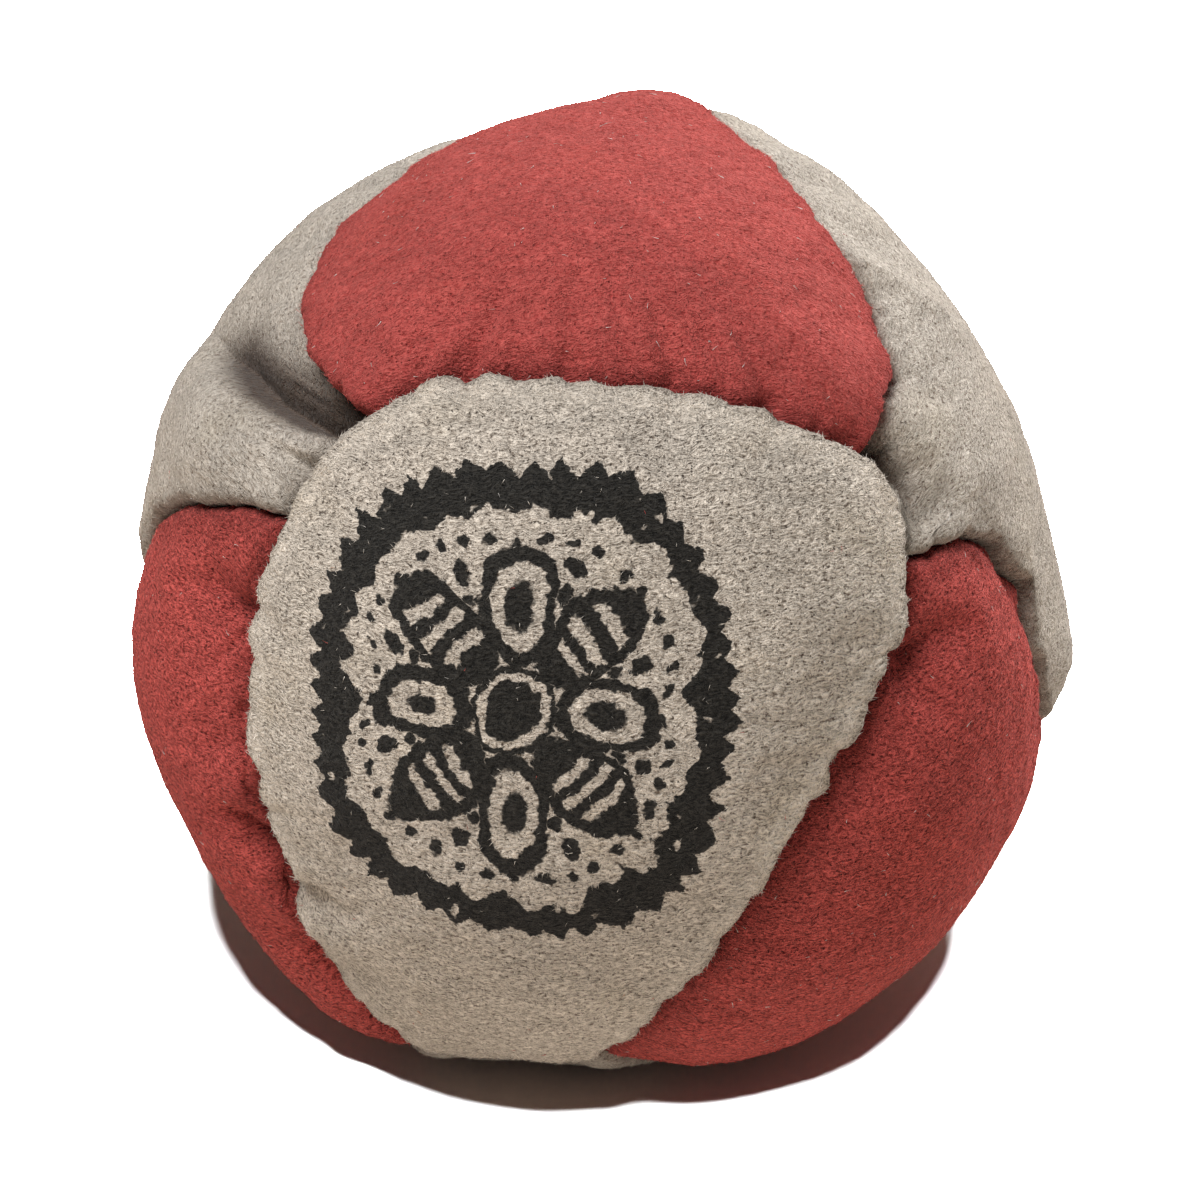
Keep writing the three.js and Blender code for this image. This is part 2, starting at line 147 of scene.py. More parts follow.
def ball_surface(directions):
    """The ball's radius in each direction: the mean one, plus a bell for each lump."""
    radius = np.full(directions.shape[:-1], BALL_RADIUS)
    for azimuth, elevation, reach, rise in LUMPS:
        angle = np.degrees(np.arccos(np.clip(directions @ aim((azimuth, elevation)), -1, 1)))
        radius = radius + rise * bell(angle, reach)
    return radius


def folds_in(panel, directions):
    """How deep a panel's own folds are, added up."""
    depth = np.zeros(directions.shape[:-1])
    for path, depths, left, right in FOLDS.get(panel, []):
        depth = depth + fold_depth(directions, path, depths, left, right)
    return depth


def settle(points, lowest):
    """Points about the ball's middle, moved up to their place, and none left under the lowest
    height, where the bag rests."""
    placed = points.copy()
    placed[..., 2] = np.maximum(placed[..., 2] + CENTRE_HEIGHT, lowest)
    return placed


# The seams. Eighteen hand-sewn seams join the panels edge to edge, three at each corner. One
# panel puffs over the other along each, and every stitch draws a notch into the edge.
CORNERS = {
    "front_left_top": (-45, 47),
    "front_left_low": (-50.5, 31.5),
    "front_right_top": (45.8, 41.4),
    "front_right_low": (45, 28.5),
    "under_front_left": (-34, -49),
    "under_front_right": (-1.8, -51.5),
    "back_top": (178, 44),
    "back_low": (180, 28),
    "under_left_front": (-111, -37),
    "under_left_back": (-129, -36),
    "under_right_front": (109, -37),
    "under_right_back": (129, -36),
}
# A seam's first and last corner, the two directions that it bends towards on the way, the panel
# that lies over the other, and how deep its notches and its puckers are
Seam = namedtuple("Seam", "first last bend_out bend_in over notch pucker")
SEAMS = {name: Seam(*row) for name, row in {
    "top_front": ("front_left_top", "front_right_top", (-26, 60), (18.5, 54.2), "front", 0.3, 1.3),
    "top_left": ("front_left_top", "back_top", (-94.4, 35.2), (-151.7, 63.6), "top", 0.26, 0.3),
    "top_right": ("front_right_top", "back_top", (73.1, 45.4), (149.8, 67), "top", 0.36, 0.4),
    "left_side_front": (
        "front_left_low", "under_front_left", (-53, 13), (-43.6, -15.8), "front", 0.4, 0.7,
    ),
    "left_side_top": (
        "front_left_low", "under_left_front", (-76, 24.7), (-103.5, 1), "left", 0.25, 0.3,
    ),
    "left_side_under": (
        "under_front_left", "under_left_front", (-58, -60), (-86, -58), "under", 0.1, 0.2,
    ),
    "right_side_front": (
        "front_right_low", "under_front_right", (38, 11.5), (4.4, -14.6), "front", 0.5, 0.5,
    ),
    "right_side_top": (
        "front_right_low", "under_right_front", (83.6, 22.6), (57.7, -5.4), "right", 0.3, 0.35,
    ),
    "right_side_under": (
        "under_front_right", "under_right_front", (35, -66), (80, -62), "under", 0.1, 0.2,
    ),
    "back_left": ("back_low", "under_left_back", (-158, 16), (-135, -10), "left", 0.2, 0.3),
    "back_right": ("back_low", "under_right_back", (158, 16), (135, -10), "right", 0.2, 0.3),
    "back_under": (
        "under_left_back", "under_right_back", (-152, -54), (152, -54), "under", 0.1, 0.2,
    ),
    "front_left": ("front_left_top", "front_left_low", (-50, 42), (-52, 36), "front", 0.1, 1.0),
    "front_right": (
        "front_right_top", "front_right_low", (46.6, 38.8), (50, 33.5), "front", 0.1, 0.4,
    ),
    "front_under": (
        "under_front_left", "under_front_right", (-22, -52), (-10, -53), "front", 0.1, 0.2,
    ),
    "back_middle": ("back_top", "back_low", (179, 39), (180, 33), "left", 0.1, 0.2),
    "under_left": (
        "under_left_front", "under_left_back", (-117, -38), (-123, -38), "left", 0.1, 0.2,
    ),
    "under_right": (
        "under_right_front", "under_right_back", (115, -38), (123, -38), "right", 0.1, 0.2,
    ),
}.items()}
WAVES = {  # where else a seam's line swings: the way along it, the reach, how far it swings
    "top_front": [
        (3.5, 1.5, 0.35), (5, 2.2, 0.3), (12, 3.5, -0.25), (16, 2.5, 0.3), (20.5, 2, 0.2),
        (28, 2.5, -0.25),
    ],
    "top_left": [(4, 1.8, -0.2), (10.8, 1.2, 0.4), (16.2, 0.9, 0.5), (18.6, 1.2, -0.8)],
    "top_right": [
        (4.3, 0.8, -0.5), (5.2, 1.3, 0.75), (6.6, 1.3, 0.3), (10.3, 0.9, 0.35), (14.8, 2.4, -0.8),
        (21, 1.5, 0.9),
    ],
    "left_side_front": [
        (6.2, 2.5, 0.55), (12, 2, 0.3), (14, 0.8, -0.9), (18.5, 2.2, -0.9), (21, 1.4, 0.45),
        (24.5, 1.2, -0.5), (27, 4.5, 1.25),
    ],
    "left_side_top": [(6.5, 2, 0.3), (15, 1.5, -0.5)],
    "right_side_front": [
        (3.5, 2.6, 0.6), (7.2, 0.9, -0.3), (9, 1.8, 0.3), (11.5, 0.6, -0.5), (15, 1.6, -0.35),
        (16.4, 1.6, -0.3), (24, 1.8, 0.3), (29, 4, 0.4),
    ],
    "right_side_top": [(2.5, 2.2, 0.45), (8.8, 1, -0.5), (12.4, 1.2, -0.8), (15.6, 1, 1)],
}
STITCH_PITCH = 2.6
CORNER_MARGIN = 2.5  # from a corner to the first stitch
CURVE_POINTS = 1201
PULL_RANGE = (0.4, 1.3)  # how hard a stitch is drawn, from the slackest to the tightest


def lengths_along(path):
    """How far along a path each of its points is."""
    return np.concatenate([[0], np.cumsum(np.linalg.norm(np.diff(path, axis=0), axis=1))])


def rows_at(places, along, rows):
    """Rows of three values, interpolated at places along them."""
    return np.stack([np.interp(places, along, rows[:, k]) for k in range(3)], -1)


def laid_flat(vectors, outs):
    """Unit vectors along a surface: each vector less its part along the way out."""
    return unit(vectors - (vectors * outs).sum(-1, keepdims=True) * outs)


def lay_out(name):
    """A seam's cubic Bezier curve over the ball at even steps of its length, with its stitches.
    The curve is (1-t)^3 a + 3 (1-t)^2 t b + 3 (1-t) t^2 c + t^3 d, from corner a to corner d."""
    seam = SEAMS[name]
    ways = [CORNERS[seam.first], seam.bend_out, seam.bend_in, CORNERS[seam.last]]
    control = BALL_RADIUS * aim(ways)
    t = np.linspace(0, 1, CURVE_POINTS)[:, None]
    weights = ((1 - t) ** 3, 3 * (1 - t) ** 2 * t, 3 * (1 - t) * t**2, t**3)
    curve = sum(weight * point for weight, point in zip(weights, control))
    along = lengths_along(curve)
    even = np.linspace(0, along[-1], CURVE_POINTS)
    points = rows_at(even, along, curve)
    stitched = along[-1] - 2 * CORNER_MARGIN
    count = max(2, 1 + round(stitched / STITCH_PITCH))
    return {
        "length": along[-1],
        "along": even,
        "points": points,
        "runs": np.gradient(points, even, axis=0),
        "stitches": CORNER_MARGIN + stitched * np.arange(count) / (count - 1),
        "draw": np.random.default_rng(sum(map(ord, name))).uniform(*PULL_RANGE, count),
    }


def station(seam, along):
    """The way out of the ball at places on a seam, and the way across it to the left of its run."""
    out = unit(rows_at(along, seam["along"], seam["points"]))
    run = laid_flat(rows_at(along, seam["along"], seam["runs"]), out)
    return out, np.cross(out, run)


laid_out = {name: lay_out(name) for name in SEAMS}


# The filling. Dry loose grain, about three quarters full, lies against the inside of the suede and
# parts in a groove where a seam's turned-in edges and stitches hang into it.
FILL_DEPTH = 1.25  # under the outside of the suede
SEAM_SINK = 0.9  # how much deeper the filling lies beside a seam
SEAM_SINK_REACH = 6.0
GROOVE_DEPTH = 5.4
GROOVE_HALF = 2.1
GROOVE_SLOPE = 0.5
GRAIN_SIZE = 1.6
GRAIN_RELIEF = 0.18
GRAIN_BUMP = 0.4
GRAIN_PALE = (0.62, 0.5, 0.3)
GRAIN_DARK = (0.3, 0.21, 0.11)
FILL_TURNS = 320
FILL_LIFTS = 160


def solid_mesh(name, points, quads, triangles):
    """A smooth mesh from arrays of points, four-sided faces and three-sided faces."""
    mesh = bpy.data.meshes.new(name)
    mesh.vertices.add(len(points))
    mesh.vertices.foreach_set("co", np.ascontiguousarray(points, np.float32).ravel())
    corners = np.concatenate([quads.ravel(), triangles.ravel()])
    starts = np.concatenate([
        4 * np.arange(len(quads)), 4 * len(quads) + 3 * np.arange(len(triangles)),
    ])
    mesh.loops.add(len(corners))
    mesh.loops.foreach_set("vertex_index", corners.astype(np.int32))
    mesh.polygons.add(len(starts))
    mesh.polygons.foreach_set("loop_start", starts.astype(np.int32))
    mesh.polygons.foreach_set("use_smooth", np.ones(len(starts), bool))
    mesh.update(calc_edges=True)
    mesh.validate()
    return mesh


def row_faces(height, width):
    """Closed rows of points: the number of each, the quads between rows, and a fan of triangles
    from the first row to one more point."""
    index = np.arange(height * width).reshape(height, width)
    turned = np.roll(index, -1, axis=1)
    quads = np.stack([index[:-1], index[1:], turned[1:], turned[:-1]], -1).reshape(-1, 4)
    return index, quads, np.stack([np.full(width, index.size), index[0], turned[0]], -1)


def skin_mesh(name, rows, first, last):
    """A closed skin from closed rows of points, with a fan to a pole at each end. Points go from
    millimetres to metres."""
    points = np.concatenate([rows.reshape(-1, 3), [first], [last]]) * MM
    index, quads, fan = row_faces(*rows.shape[:2])
    end_fan = np.stack([fan[:, 0] + 1, np.roll(index[-1], -1), index[-1]], -1)
    return solid_mesh(name, points, quads, np.concatenate([fan, end_fan]))


def add_object(name, data):
    """A new object in the scene."""
    added = bpy.data.objects.new(name, data)
    bpy.context.scene.collection.objects.link(added)
    return added


def place(mesh, material):
    """A piece of the ball: the mesh in its material, riding on the one body."""
    piece = add_object(mesh.name, mesh)
    mesh.materials.append(material)
    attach(piece, "root")
    return piece


def ripple(points, wavelength, seed, waves=28):
    """A smooth random field, mostly within -1 to 1: the sum of plane waves in random directions,
    with lengths from 0.7 to 1.4 times the given one, over the square root of twice their number."""
    draw = np.random.default_rng(seed)
    runs = unit(draw.normal(size=(waves, 3))) / draw.uniform(0.7, 1.4, (waves, 1))
    phase = draw.uniform(0, 2 * np.pi, waves)
    total = np.zeros(points.shape[:-1])
    for run, start in zip(runs, phase):
        total += np.cos(points @ (2 * np.pi / wavelength * run) + start)
    return total / np.sqrt(2 * waves)


def seam_distance(directions):
    """The distance in millimetres from each direction to the nearest seam: the ball's radius
    times the smallest angle, from the largest dot product, taken a batch of points at a time."""
    seam_points = np.concatenate([unit(seam["points"][::12]) for seam in laid_out.values()])
    closest = np.full(len(directions), -1.0)
    batch = 200
    for start in range(0, len(seam_points), batch):
        near = (directions @ seam_points[start:start + batch].T).max(axis=1)
        closest = np.maximum(closest, near)
    return BALL_RADIUS * np.arccos(np.clip(closest, -1, 1))


def grain_points():
    """Rows round the ball from top to bottom. The radius is the ball's, less the suede, less a
    groove at each seam, plus the ripple of the grains."""
    lifts = 90 - 180 * (np.arange(FILL_LIFTS) + 0.5) / FILL_LIFTS
    turns = 360 * np.arange(FILL_TURNS) / FILL_TURNS
    turn, lift = np.meshgrid(turns, lifts)
    directions = aim(np.stack([turn.ravel(), lift.ravel()], -1))
    away = seam_distance(directions)
    groove = 1 / (1 + np.exp((away - GROOVE_HALF - GROOVE_SLOPE) / (GROOVE_SLOPE / 3)))
    depth = FILL_DEPTH + SEAM_SINK * bell(away, SEAM_SINK_REACH)
    depth = depth + sum(folds_in(panel, directions) for panel in FOLDS)
    depth = depth + np.maximum(GROOVE_DEPTH - depth, 0) * groove
    radius = ball_surface(directions) - depth
    points = directions * radius[:, None]
    points += directions * (GRAIN_RELIEF * (ripple(points, GRAIN_SIZE, 5) - 1))[:, None]
    return settle(points, FILL_DEPTH).reshape(FILL_LIFTS, FILL_TURNS, 3)


class Socket:
    """A value in a node tree that adds a Math node for each step of a formula written with it."""

    def __init__(self, tree, socket):
        self.tree = tree
        self.socket = socket

    def math(self, operation, *others):
        node = self.tree.nodes.new("ShaderNodeMath")
        node.operation = operation
        for place_in, value in zip(node.inputs, (self, *others)):
            put(self.tree, value, place_in)
        return Socket(self.tree, node.outputs[0])

    def __add__(self, other):
        return self.math("ADD", other)

    def __sub__(self, other):
        return self.math("SUBTRACT", other)

    def __mul__(self, other):
        return self.math("MULTIPLY", other)

    def __truediv__(self, other):
        return self.math("DIVIDE", other)

    __radd__ = __add__
    __rmul__ = __mul__

    def __rsub__(self, other):
        return (self * -1) + other

    def __abs__(self):
        return self.math("ABSOLUTE")

    def between(self, low, high):
        """0 at low, 1 at high, and an S-shaped curve from one to the other."""
        node = self.tree.nodes.new("ShaderNodeMapRange")
        node.interpolation_type = "SMOOTHSTEP"
        for key, value in (("Value", self), ("From Min", low), ("From Max", high)):
            put(self.tree, value, node.inputs[key])
        return Socket(self.tree, node.outputs["Result"])


def put(tree, value, target):
    """Links a socket to an input, or sets the input to a plain value. A colour gets its alpha."""
    if isinstance(value, Socket):
        tree.links.new(value.socket, target)
    elif target.type == "RGBA":
        target.default_value = (*value, 1)
    else:
        target.default_value = value


def add_node(tree, kind, output=0, settings=(), **inputs):
    """A node of that kind, with its settings and inputs, as the socket that comes out of it."""
    node = tree.nodes.new(kind)
    for key, value in dict(settings).items():
        setattr(node, key, value)
    for key, value in inputs.items():
        put(tree, value, node.inputs[key.replace("_", " ")])
    return Socket(tree, node.outputs[output])


def noise(tree, vector, scale, detail=2.0, roughness=0.5):
    """Blender's noise on a vector, from 0 to 1."""
    return add_node(
        tree, "ShaderNodeTexNoise", "Fac",
        Vector=vector, Scale=scale, Detail=detail, Roughness=roughness,
    )


def mix(tree, share, first, second, blend="MIX"):
    """A colour between two others, at a share of the way."""
    node = tree.nodes.new("ShaderNodeMix")
    node.data_type = "RGBA"
    node.blend_type = blend
    put(tree, share, node.inputs[0])
    put(tree, first, node.inputs[6])
    put(tree, second, node.inputs[7])
    return Socket(tree, node.outputs[2])


def new_material(name, **values):
    """A material with one Principled shader, and the plain values that it has all over."""
    material = bpy.data.materials.new(name)
    material.use_nodes = True
    shader = material.node_tree.nodes["Principled BSDF"]
    for key, value in values.items():
        shader.inputs[key.replace("_", " ")].default_value = value
    return material, material.node_tree, shader


def bumped(tree, shader, height, depth):
    """Feeds a height through a Bump node to the shader's normal; depth is in millimetres."""
    bump = add_node(tree, "ShaderNodeBump", "Normal", Height=height, Distance=depth * MM)
    put(tree, bump, shader.inputs["Normal"])


grain, tree, shader = new_material("dry_grain", Roughness=0.85)
grain_place = add_node(tree, "ShaderNodeTexCoord", "Object")
grain_cell = add_node(
    tree, "ShaderNodeTexVoronoi", "Distance", Vector=grain_place, Scale=1 / (GRAIN_SIZE * MM),
)
grain_tint = mix(tree, grain_cell.between(0.2, 0.7), GRAIN_PALE, GRAIN_DARK)
put(tree, grain_tint, shader.inputs["Base Color"])
bumped(tree, shader, grain_cell * -1, GRAIN_BUMP)

fill_rows = grain_points()
fill_top, fill_foot = (fill_rows[end].mean(axis=0) for end in (0, -1))
fill_mesh = skin_mesh("grain_filling", fill_rows, fill_top, fill_foot)
filling = place(fill_mesh, grain)
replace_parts(filling, "grain_fill")


# The threads. One waxed thread of two plies sews each seam from end to end, deep between its two
# turned-in edges. It runs along one side, goes through both edges and runs along the other.
THREAD_RADIUS = 0.2
THREAD_OFFSET = 1.12  # from the seam's line to the middle of the thread
THREAD_DEPTH = 3.0
THREAD_FOLLOWS = 0.7  # of the depth of a fold, what the thread goes down with it
THREAD_LOWEST = 1.6  # over the face that the bag rests on
THREAD_SIDES = 12
STITCH_ROUNDING = 4  # times that the corners of its path are cut
PLY_TWIST = 1.3  # along the thread, for one turn of its plies
PLY_RELIEF = 0.16  # of the thread's radius
PLY_BUMP = 0.05
WAX_DARK = (0.1, 0.088, 0.075)
WAX_PALE = (0.2, 0.175, 0.145)


def rounded(points, times):
    """A path with its corners cut again and again, at a quarter and three quarters of each run."""
    for _ in range(times):
        near = points[:-1] * 0.75 + points[1:] * 0.25
        far = points[:-1] * 0.25 + points[1:] * 0.75
        between = np.stack([near, far], 1).reshape(-1, 3)
        points = np.concatenate([points[:1], between, points[-1:]])
    return points


def thread_mesh(name):
    """A tube along the stitches. Its radius goes round as 1 + relief * cos 2(angle - twist)."""
    seam = laid_out[name]
    sides = np.where(np.arange(len(seam["stitches"])) % 2, 1, -1)
    along = np.repeat(seam["stitches"], 2)
    offset = THREAD_OFFSET * np.stack([sides, -sides], 1).ravel()
    out, across = station(seam, along)
    way = unit(out * BALL_RADIUS + across * offset[:, None])
    folds = np.maximum.reduce([folds_in(panel, way) for panel in FOLDS])
    depth = THREAD_DEPTH + THREAD_FOLLOWS * folds
    stops = settle(way * (ball_surface(way) - depth)[:, None], THREAD_LOWEST)
    path = rounded(stops, STITCH_ROUNDING)
    far = lengths_along(path)
    forward = unit(np.gradient(path, axis=0))
    upright = unit(np.cross(np.cross(forward, unit(path)), forward))
    sideways = np.cross(upright, forward)
    angle = -2 * np.pi * np.arange(THREAD_SIDES)[None] / THREAD_SIDES
    twist = 2 * np.pi * far[:, None] / PLY_TWIST
    radius = THREAD_RADIUS * (1 + PLY_RELIEF * np.cos(2 * (angle - twist)))[..., None]
    spokes = np.cos(angle)[..., None] * sideways[:, None]
    spokes = spokes + np.sin(angle)[..., None] * upright[:, None]
    return skin_mesh(f"sewing_{name}", path[:, None] + radius * spokes, path[0], path[-1])


waxed, tree, shader = new_material("waxed_thread", Roughness=0.6)
thread_place = add_node(tree, "ShaderNodeTexCoord", "Object")
ply = noise(tree, thread_place, 4.0 / MM, 2.0, 0.6)
thread_tint = mix(tree, ply.between(0.35, 0.65), WAX_DARK, WAX_PALE)
put(tree, thread_tint, shader.inputs["Base Color"])
bumped(tree, shader, ply, PLY_BUMP)
for name in SEAMS:
    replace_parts(place(thread_mesh(name), waxed), f"thread_{name}")


# The panels. Eight pieces of napped suede 0.8 mm thick, four grey ones with six sides and four red
# ones with three. Each is sewn inside out to its neighbours, with its edges turned in.
SUEDE_THICKNESS = 0.8
HALF_GAP = 0.04  # from a seam's line to the face of each turned-in edge
FOOT_RISE = 0.2  # from the foot of the groove in the filling to the foot of a turned-in edge
LEAST_TURN_IN = 1.2  # how far an edge is turned in at least, under its bend
SHOULDER_INSET = 0.25  # of the inside of the bend, from its outside
SHOULDER_DROP = 0.1
PANELS = {  # the middle, the colour, and the corners in turn, anticlockwise from outside
    "front": ((-3, 10), "grey", ["front_left_top", "front_left_low", "under_front_left",
                                 "under_front_right", "front_right_low", "front_right_top"]),
    "left": ((-118, 18), "grey", ["front_left_top", "back_top", "back_low", "under_left_back",
                                  "under_left_front", "front_left_low"]),
    "right": ((116, 18), "grey", ["front_right_top", "front_right_low", "under_right_front",
                                  "under_right_back", "back_low", "back_top"]),
    "under": ((0, -90), "grey", ["under_front_left", "under_left_front", "under_left_back",
                                 "under_right_back", "under_right_front", "under_front_right"]),
    "top": ((-10, 85), "red", ["front_left_top", "front_right_top", "back_top"]),
    "side_left": ((-67, -16), "red", ["front_left_low", "under_left_front", "under_front_left"]),
    "side_right": ((54, -17), "red", ["front_right_low", "under_front_right", "under_right_front"]),
    "back": ((180, -18), "red", ["back_low", "under_right_back", "under_left_back"]),
}
COLUMN_STEP = {"front": 0.14, "back": 0.3, "under": 0.3}  # along the edge of a panel
USUAL_STEP = 0.17
CROWN_ROWS = 56
ROW_CROWDING = 0.85  # under 1, the rows of a crown close up towards its edge
EDGE_ROWS = 13
INNER_ROWS = 6
# How an edge turns in: its width, its depth, how square its bend is, how far the crown has sunk
OVER_EDGE = (0.6, 0.95, 2.3, 0.05)
UNDER_EDGE = (1.2, 1.2, 1.8, 0.35)
EDGE_EASE = 1.2  # the length along the rim over which one edge goes over into the next
OUTLINE_EASE = 4.0  # and the one over which the outline is rounded near the middle
SUEDE_RIPPLES = [(0.16, 8, 11), (0.05, 2.6, 12), (0.03, 1.0, 13)]  # height, wavelength, seed
SLACK_ROWS = 16
SLACK_COLUMNS = 96
SLACK_SCALE = 0.02  # metres of cloth for a millimetre of suede
SLACK_FRAMES = 20
SLACK_CAP = 0.45
SLACK_SHARE = 0.7  # of that movement that the panel takes up
SEWN_REACH = 1.4  # how far in from the edge the stitches hold the crown down
SUEDE_CLOTH = dict(
    quality=6, mass=0.3, tension_stiffness=15, compression_stiffness=15, shear_stiffness=5,
    bending_stiffness=0.5, vertex_group_mass="sewn", use_pressure=True, uniform_pressure_force=4,
    shrink_min=-0.03,
)
NOTCH_LEVEL = 0.35  # how far the edge stands out between two notches, of a notch's strength
NOTCH_STEEP = 0.08  # the two sides of a notch, as shares of the stitch pitch
NOTCH_SLOW = 0.3
NOTCH_FADE = 1.8  # how far in from the edge a notch is felt
CUT_FUZZ = [(0.05, 0.55), (0.09, 1.1), (0.14, 2.9)]  # unevenness of the cut edge, and its length
FUZZ_MARGIN = 1.5  # from each corner, where it fades
PUCKER_WIDTH = 0.75
PUCKER_FADE = 2.0
PUCKER_PULLS = (0.3, 1.25)  # every second one is stronger
PUCKER_ABOVE = 0.35  # the share of it that shows on the panel that lies over


def sides_of(panel):
    """Each side of a panel: its seam, and whether the panel runs along it backwards."""
    corners = PANELS[panel][2]
    for start, end in zip(corners, corners[1:] + corners[:1]):
        name = next(n for n, seam in SEAMS.items() if {start, end} == {seam.first, seam.last})
        yield name, SEAMS[name].first != start


def side_station(side, along):
    """A station on one side of a panel, with its way across pointing into the panel."""
    name, backwards = side
    seam = laid_out[name]
    out, across = station(seam, seam["length"] - along if backwards else along)
    return out, -across if backwards else across


def edge_of(panel, step):
    """The columns along each side of a panel's edge: their shares of the way along it, and what
    the corner at each end takes off the side for each millimetre inwards, tan(turn / 2)."""
    sides = list(sides_of(panel))
    runs = []
    for side in sides:
        length = laid_out[side[0]]["length"]
        out, across = side_station(side, np.array([0.0, length]))
        runs.append(np.cross(across, out))
    turns = []
    for before, after in zip(runs[-1:] + runs[:-1], runs):
        turns.append(np.arccos(np.clip(before[1] @ after[0], -1, 1)))
    columns = []
    for i, (side, turn) in enumerate(zip(sides, turns)):
        length = laid_out[side[0]]["length"]
        count = max(4, round(length / step))
        columns.append({
            "panel": panel,
            "side": side,
            "length": length,
            "shares": np.arange(count) / count,
            "insets": (np.tan(turn / 2), np.tan(turns[(i + 1) % len(turns)] / 2)),
        })
    return columns


def eased(values, count):
    """A closed row of values, averaged twice over a window of neighbours."""
    window = np.ones(count) / count
    for _ in range(2):
        wrapped = np.concatenate([values[-count:], values, values[:count]])
        values = np.convolve(wrapped, window, "same")[count:-count]
    return values


def notches(name, along):
    """How far a seam's line is drawn across it: level between the stitches, and at each stitch a
    cusp exp(-way / steep) on one side and exp(-way / slow) on the other, with its own strength."""
    seam = laid_out[name]
    steps = np.interp(along, seam["stitches"], np.arange(len(seam["stitches"])), left=-1, right=-1)
    size = np.interp(along, seam["stitches"], seam["draw"], left=0, right=0)
    cusps = np.maximum(np.exp(-(steps % 1) / NOTCH_SLOW), np.exp(-(1 - steps % 1) / NOTCH_STEEP))
    bumps = np.where(steps < 0, 0, NOTCH_LEVEL - cusps)
    margin = np.minimum(along, seam["length"] - along)
    shift = SEAMS[name].notch * size * bumps * np.clip(margin / CORNER_MARGIN, 0, 1)
    for place_along, reach, wave in WAVES.get(name, []):
        shift = shift + wave * bell(along - place_along, reach)
    return shift


def fuzz(name, along):
    """The unevenness of the cut edge along a seam: ripples of three lengths, added up. They fade
    towards the corners."""
    points = np.stack([along, 0 * along, 0 * along], -1)
    seed = sum(map(ord, name))
    ripples = [
        height * ripple(points, wavelength, seed + number)
        for number, (height, wavelength) in enumerate(CUT_FUZZ)
    ]
    margin = np.minimum(along, laid_out[name]["length"] - along)
    return sum(ripples), np.clip(margin / FUZZ_MARGIN, 0, 1)


def rim_directions(columns, offset):
    """The directions at an offset in from a panel's edge, one for each column. The row is shorter
    further in, so its columns close up, and rows never cross. The notches and the fuzz of the edge
    fade inwards as exp(-offset / fade)."""
    found = []
    start = 0
    for column in columns:
        name, backwards = column["side"]
        count = len(column["shares"])
        here = offset[start:start + count]
        here = np.append(here, offset[(start + count) % len(offset)])
        share = np.append(column["shares"], 1.0)
        low, high = (here * inset for inset in column["insets"])
        along = low + (column["length"] - low - high) * share
        out, across = side_station(column["side"], along)
        true_along = column["length"] - along if backwards else along
        inwards = -1 if SEAMS[name].over == column["panel"] else 1
        uneven, fade = fuzz(name, true_along)
        shift = inwards * notches(name, true_along) + (-1 if backwards else 1) * uneven * fade
        shift = shift * np.exp(-here / NOTCH_FADE)
        found.append(unit(out * BALL_RADIUS + across * (here + shift)[:, None]))
        start += count
    for i, row in enumerate(found):
        row[0] = unit(row[0] + found[i - 1][-1])
    return np.concatenate([row[:-1] for row in found])


def puckers(columns, panel):
    """How deep the stitches draw each column: a bell at each stitch, every second one stronger."""
    depths = []
    for column in columns:
        name, backwards = column["side"]
        seam = laid_out[name]
        along = column["shares"] * column["length"]
        along = column["length"] - along if backwards else along
        strength = seam["draw"] * np.resize(PUCKER_PULLS, len(seam["draw"]))
        pulls = bell(along[:, None] - seam["stitches"], PUCKER_WIDTH) * strength
        share = PUCKER_ABOVE if SEAMS[name].over == panel else 1.0
        depths.append(share * SEAMS[name].pucker * pulls.sum(axis=1))
    return np.concatenate(depths)


def crown_directions(middle, rim, shares, ease):
    """Unit vectors between the middle of a panel and each column's rim, at shares s of the way.
    Rows near the middle are round. Further out they take on the outline of the panel as s^1.5
    grows, and its corners last, as s^7 does."""
    angle = np.arccos(np.clip(rim @ middle, -1, 1))
    sideways = unit(rim - (rim @ middle)[:, None] * middle)
    soft_angle = eased(angle, ease)
    soft_sideways = unit(np.stack([eased(sideways[:, k], ease) for k in range(3)], -1))
    outline = shares[:, None] ** 1.5
    corners = shares[:, None] ** 7
    reach = soft_angle + (angle - soft_angle) * corners
    turn = shares[:, None] * (angle.mean() * (1 - outline) + reach * outline)
    way = unit(soft_sideways + (sideways - soft_sideways) * corners[..., None])
    return np.cos(turn)[..., None] * middle + np.sin(turn)[..., None] * way, turn


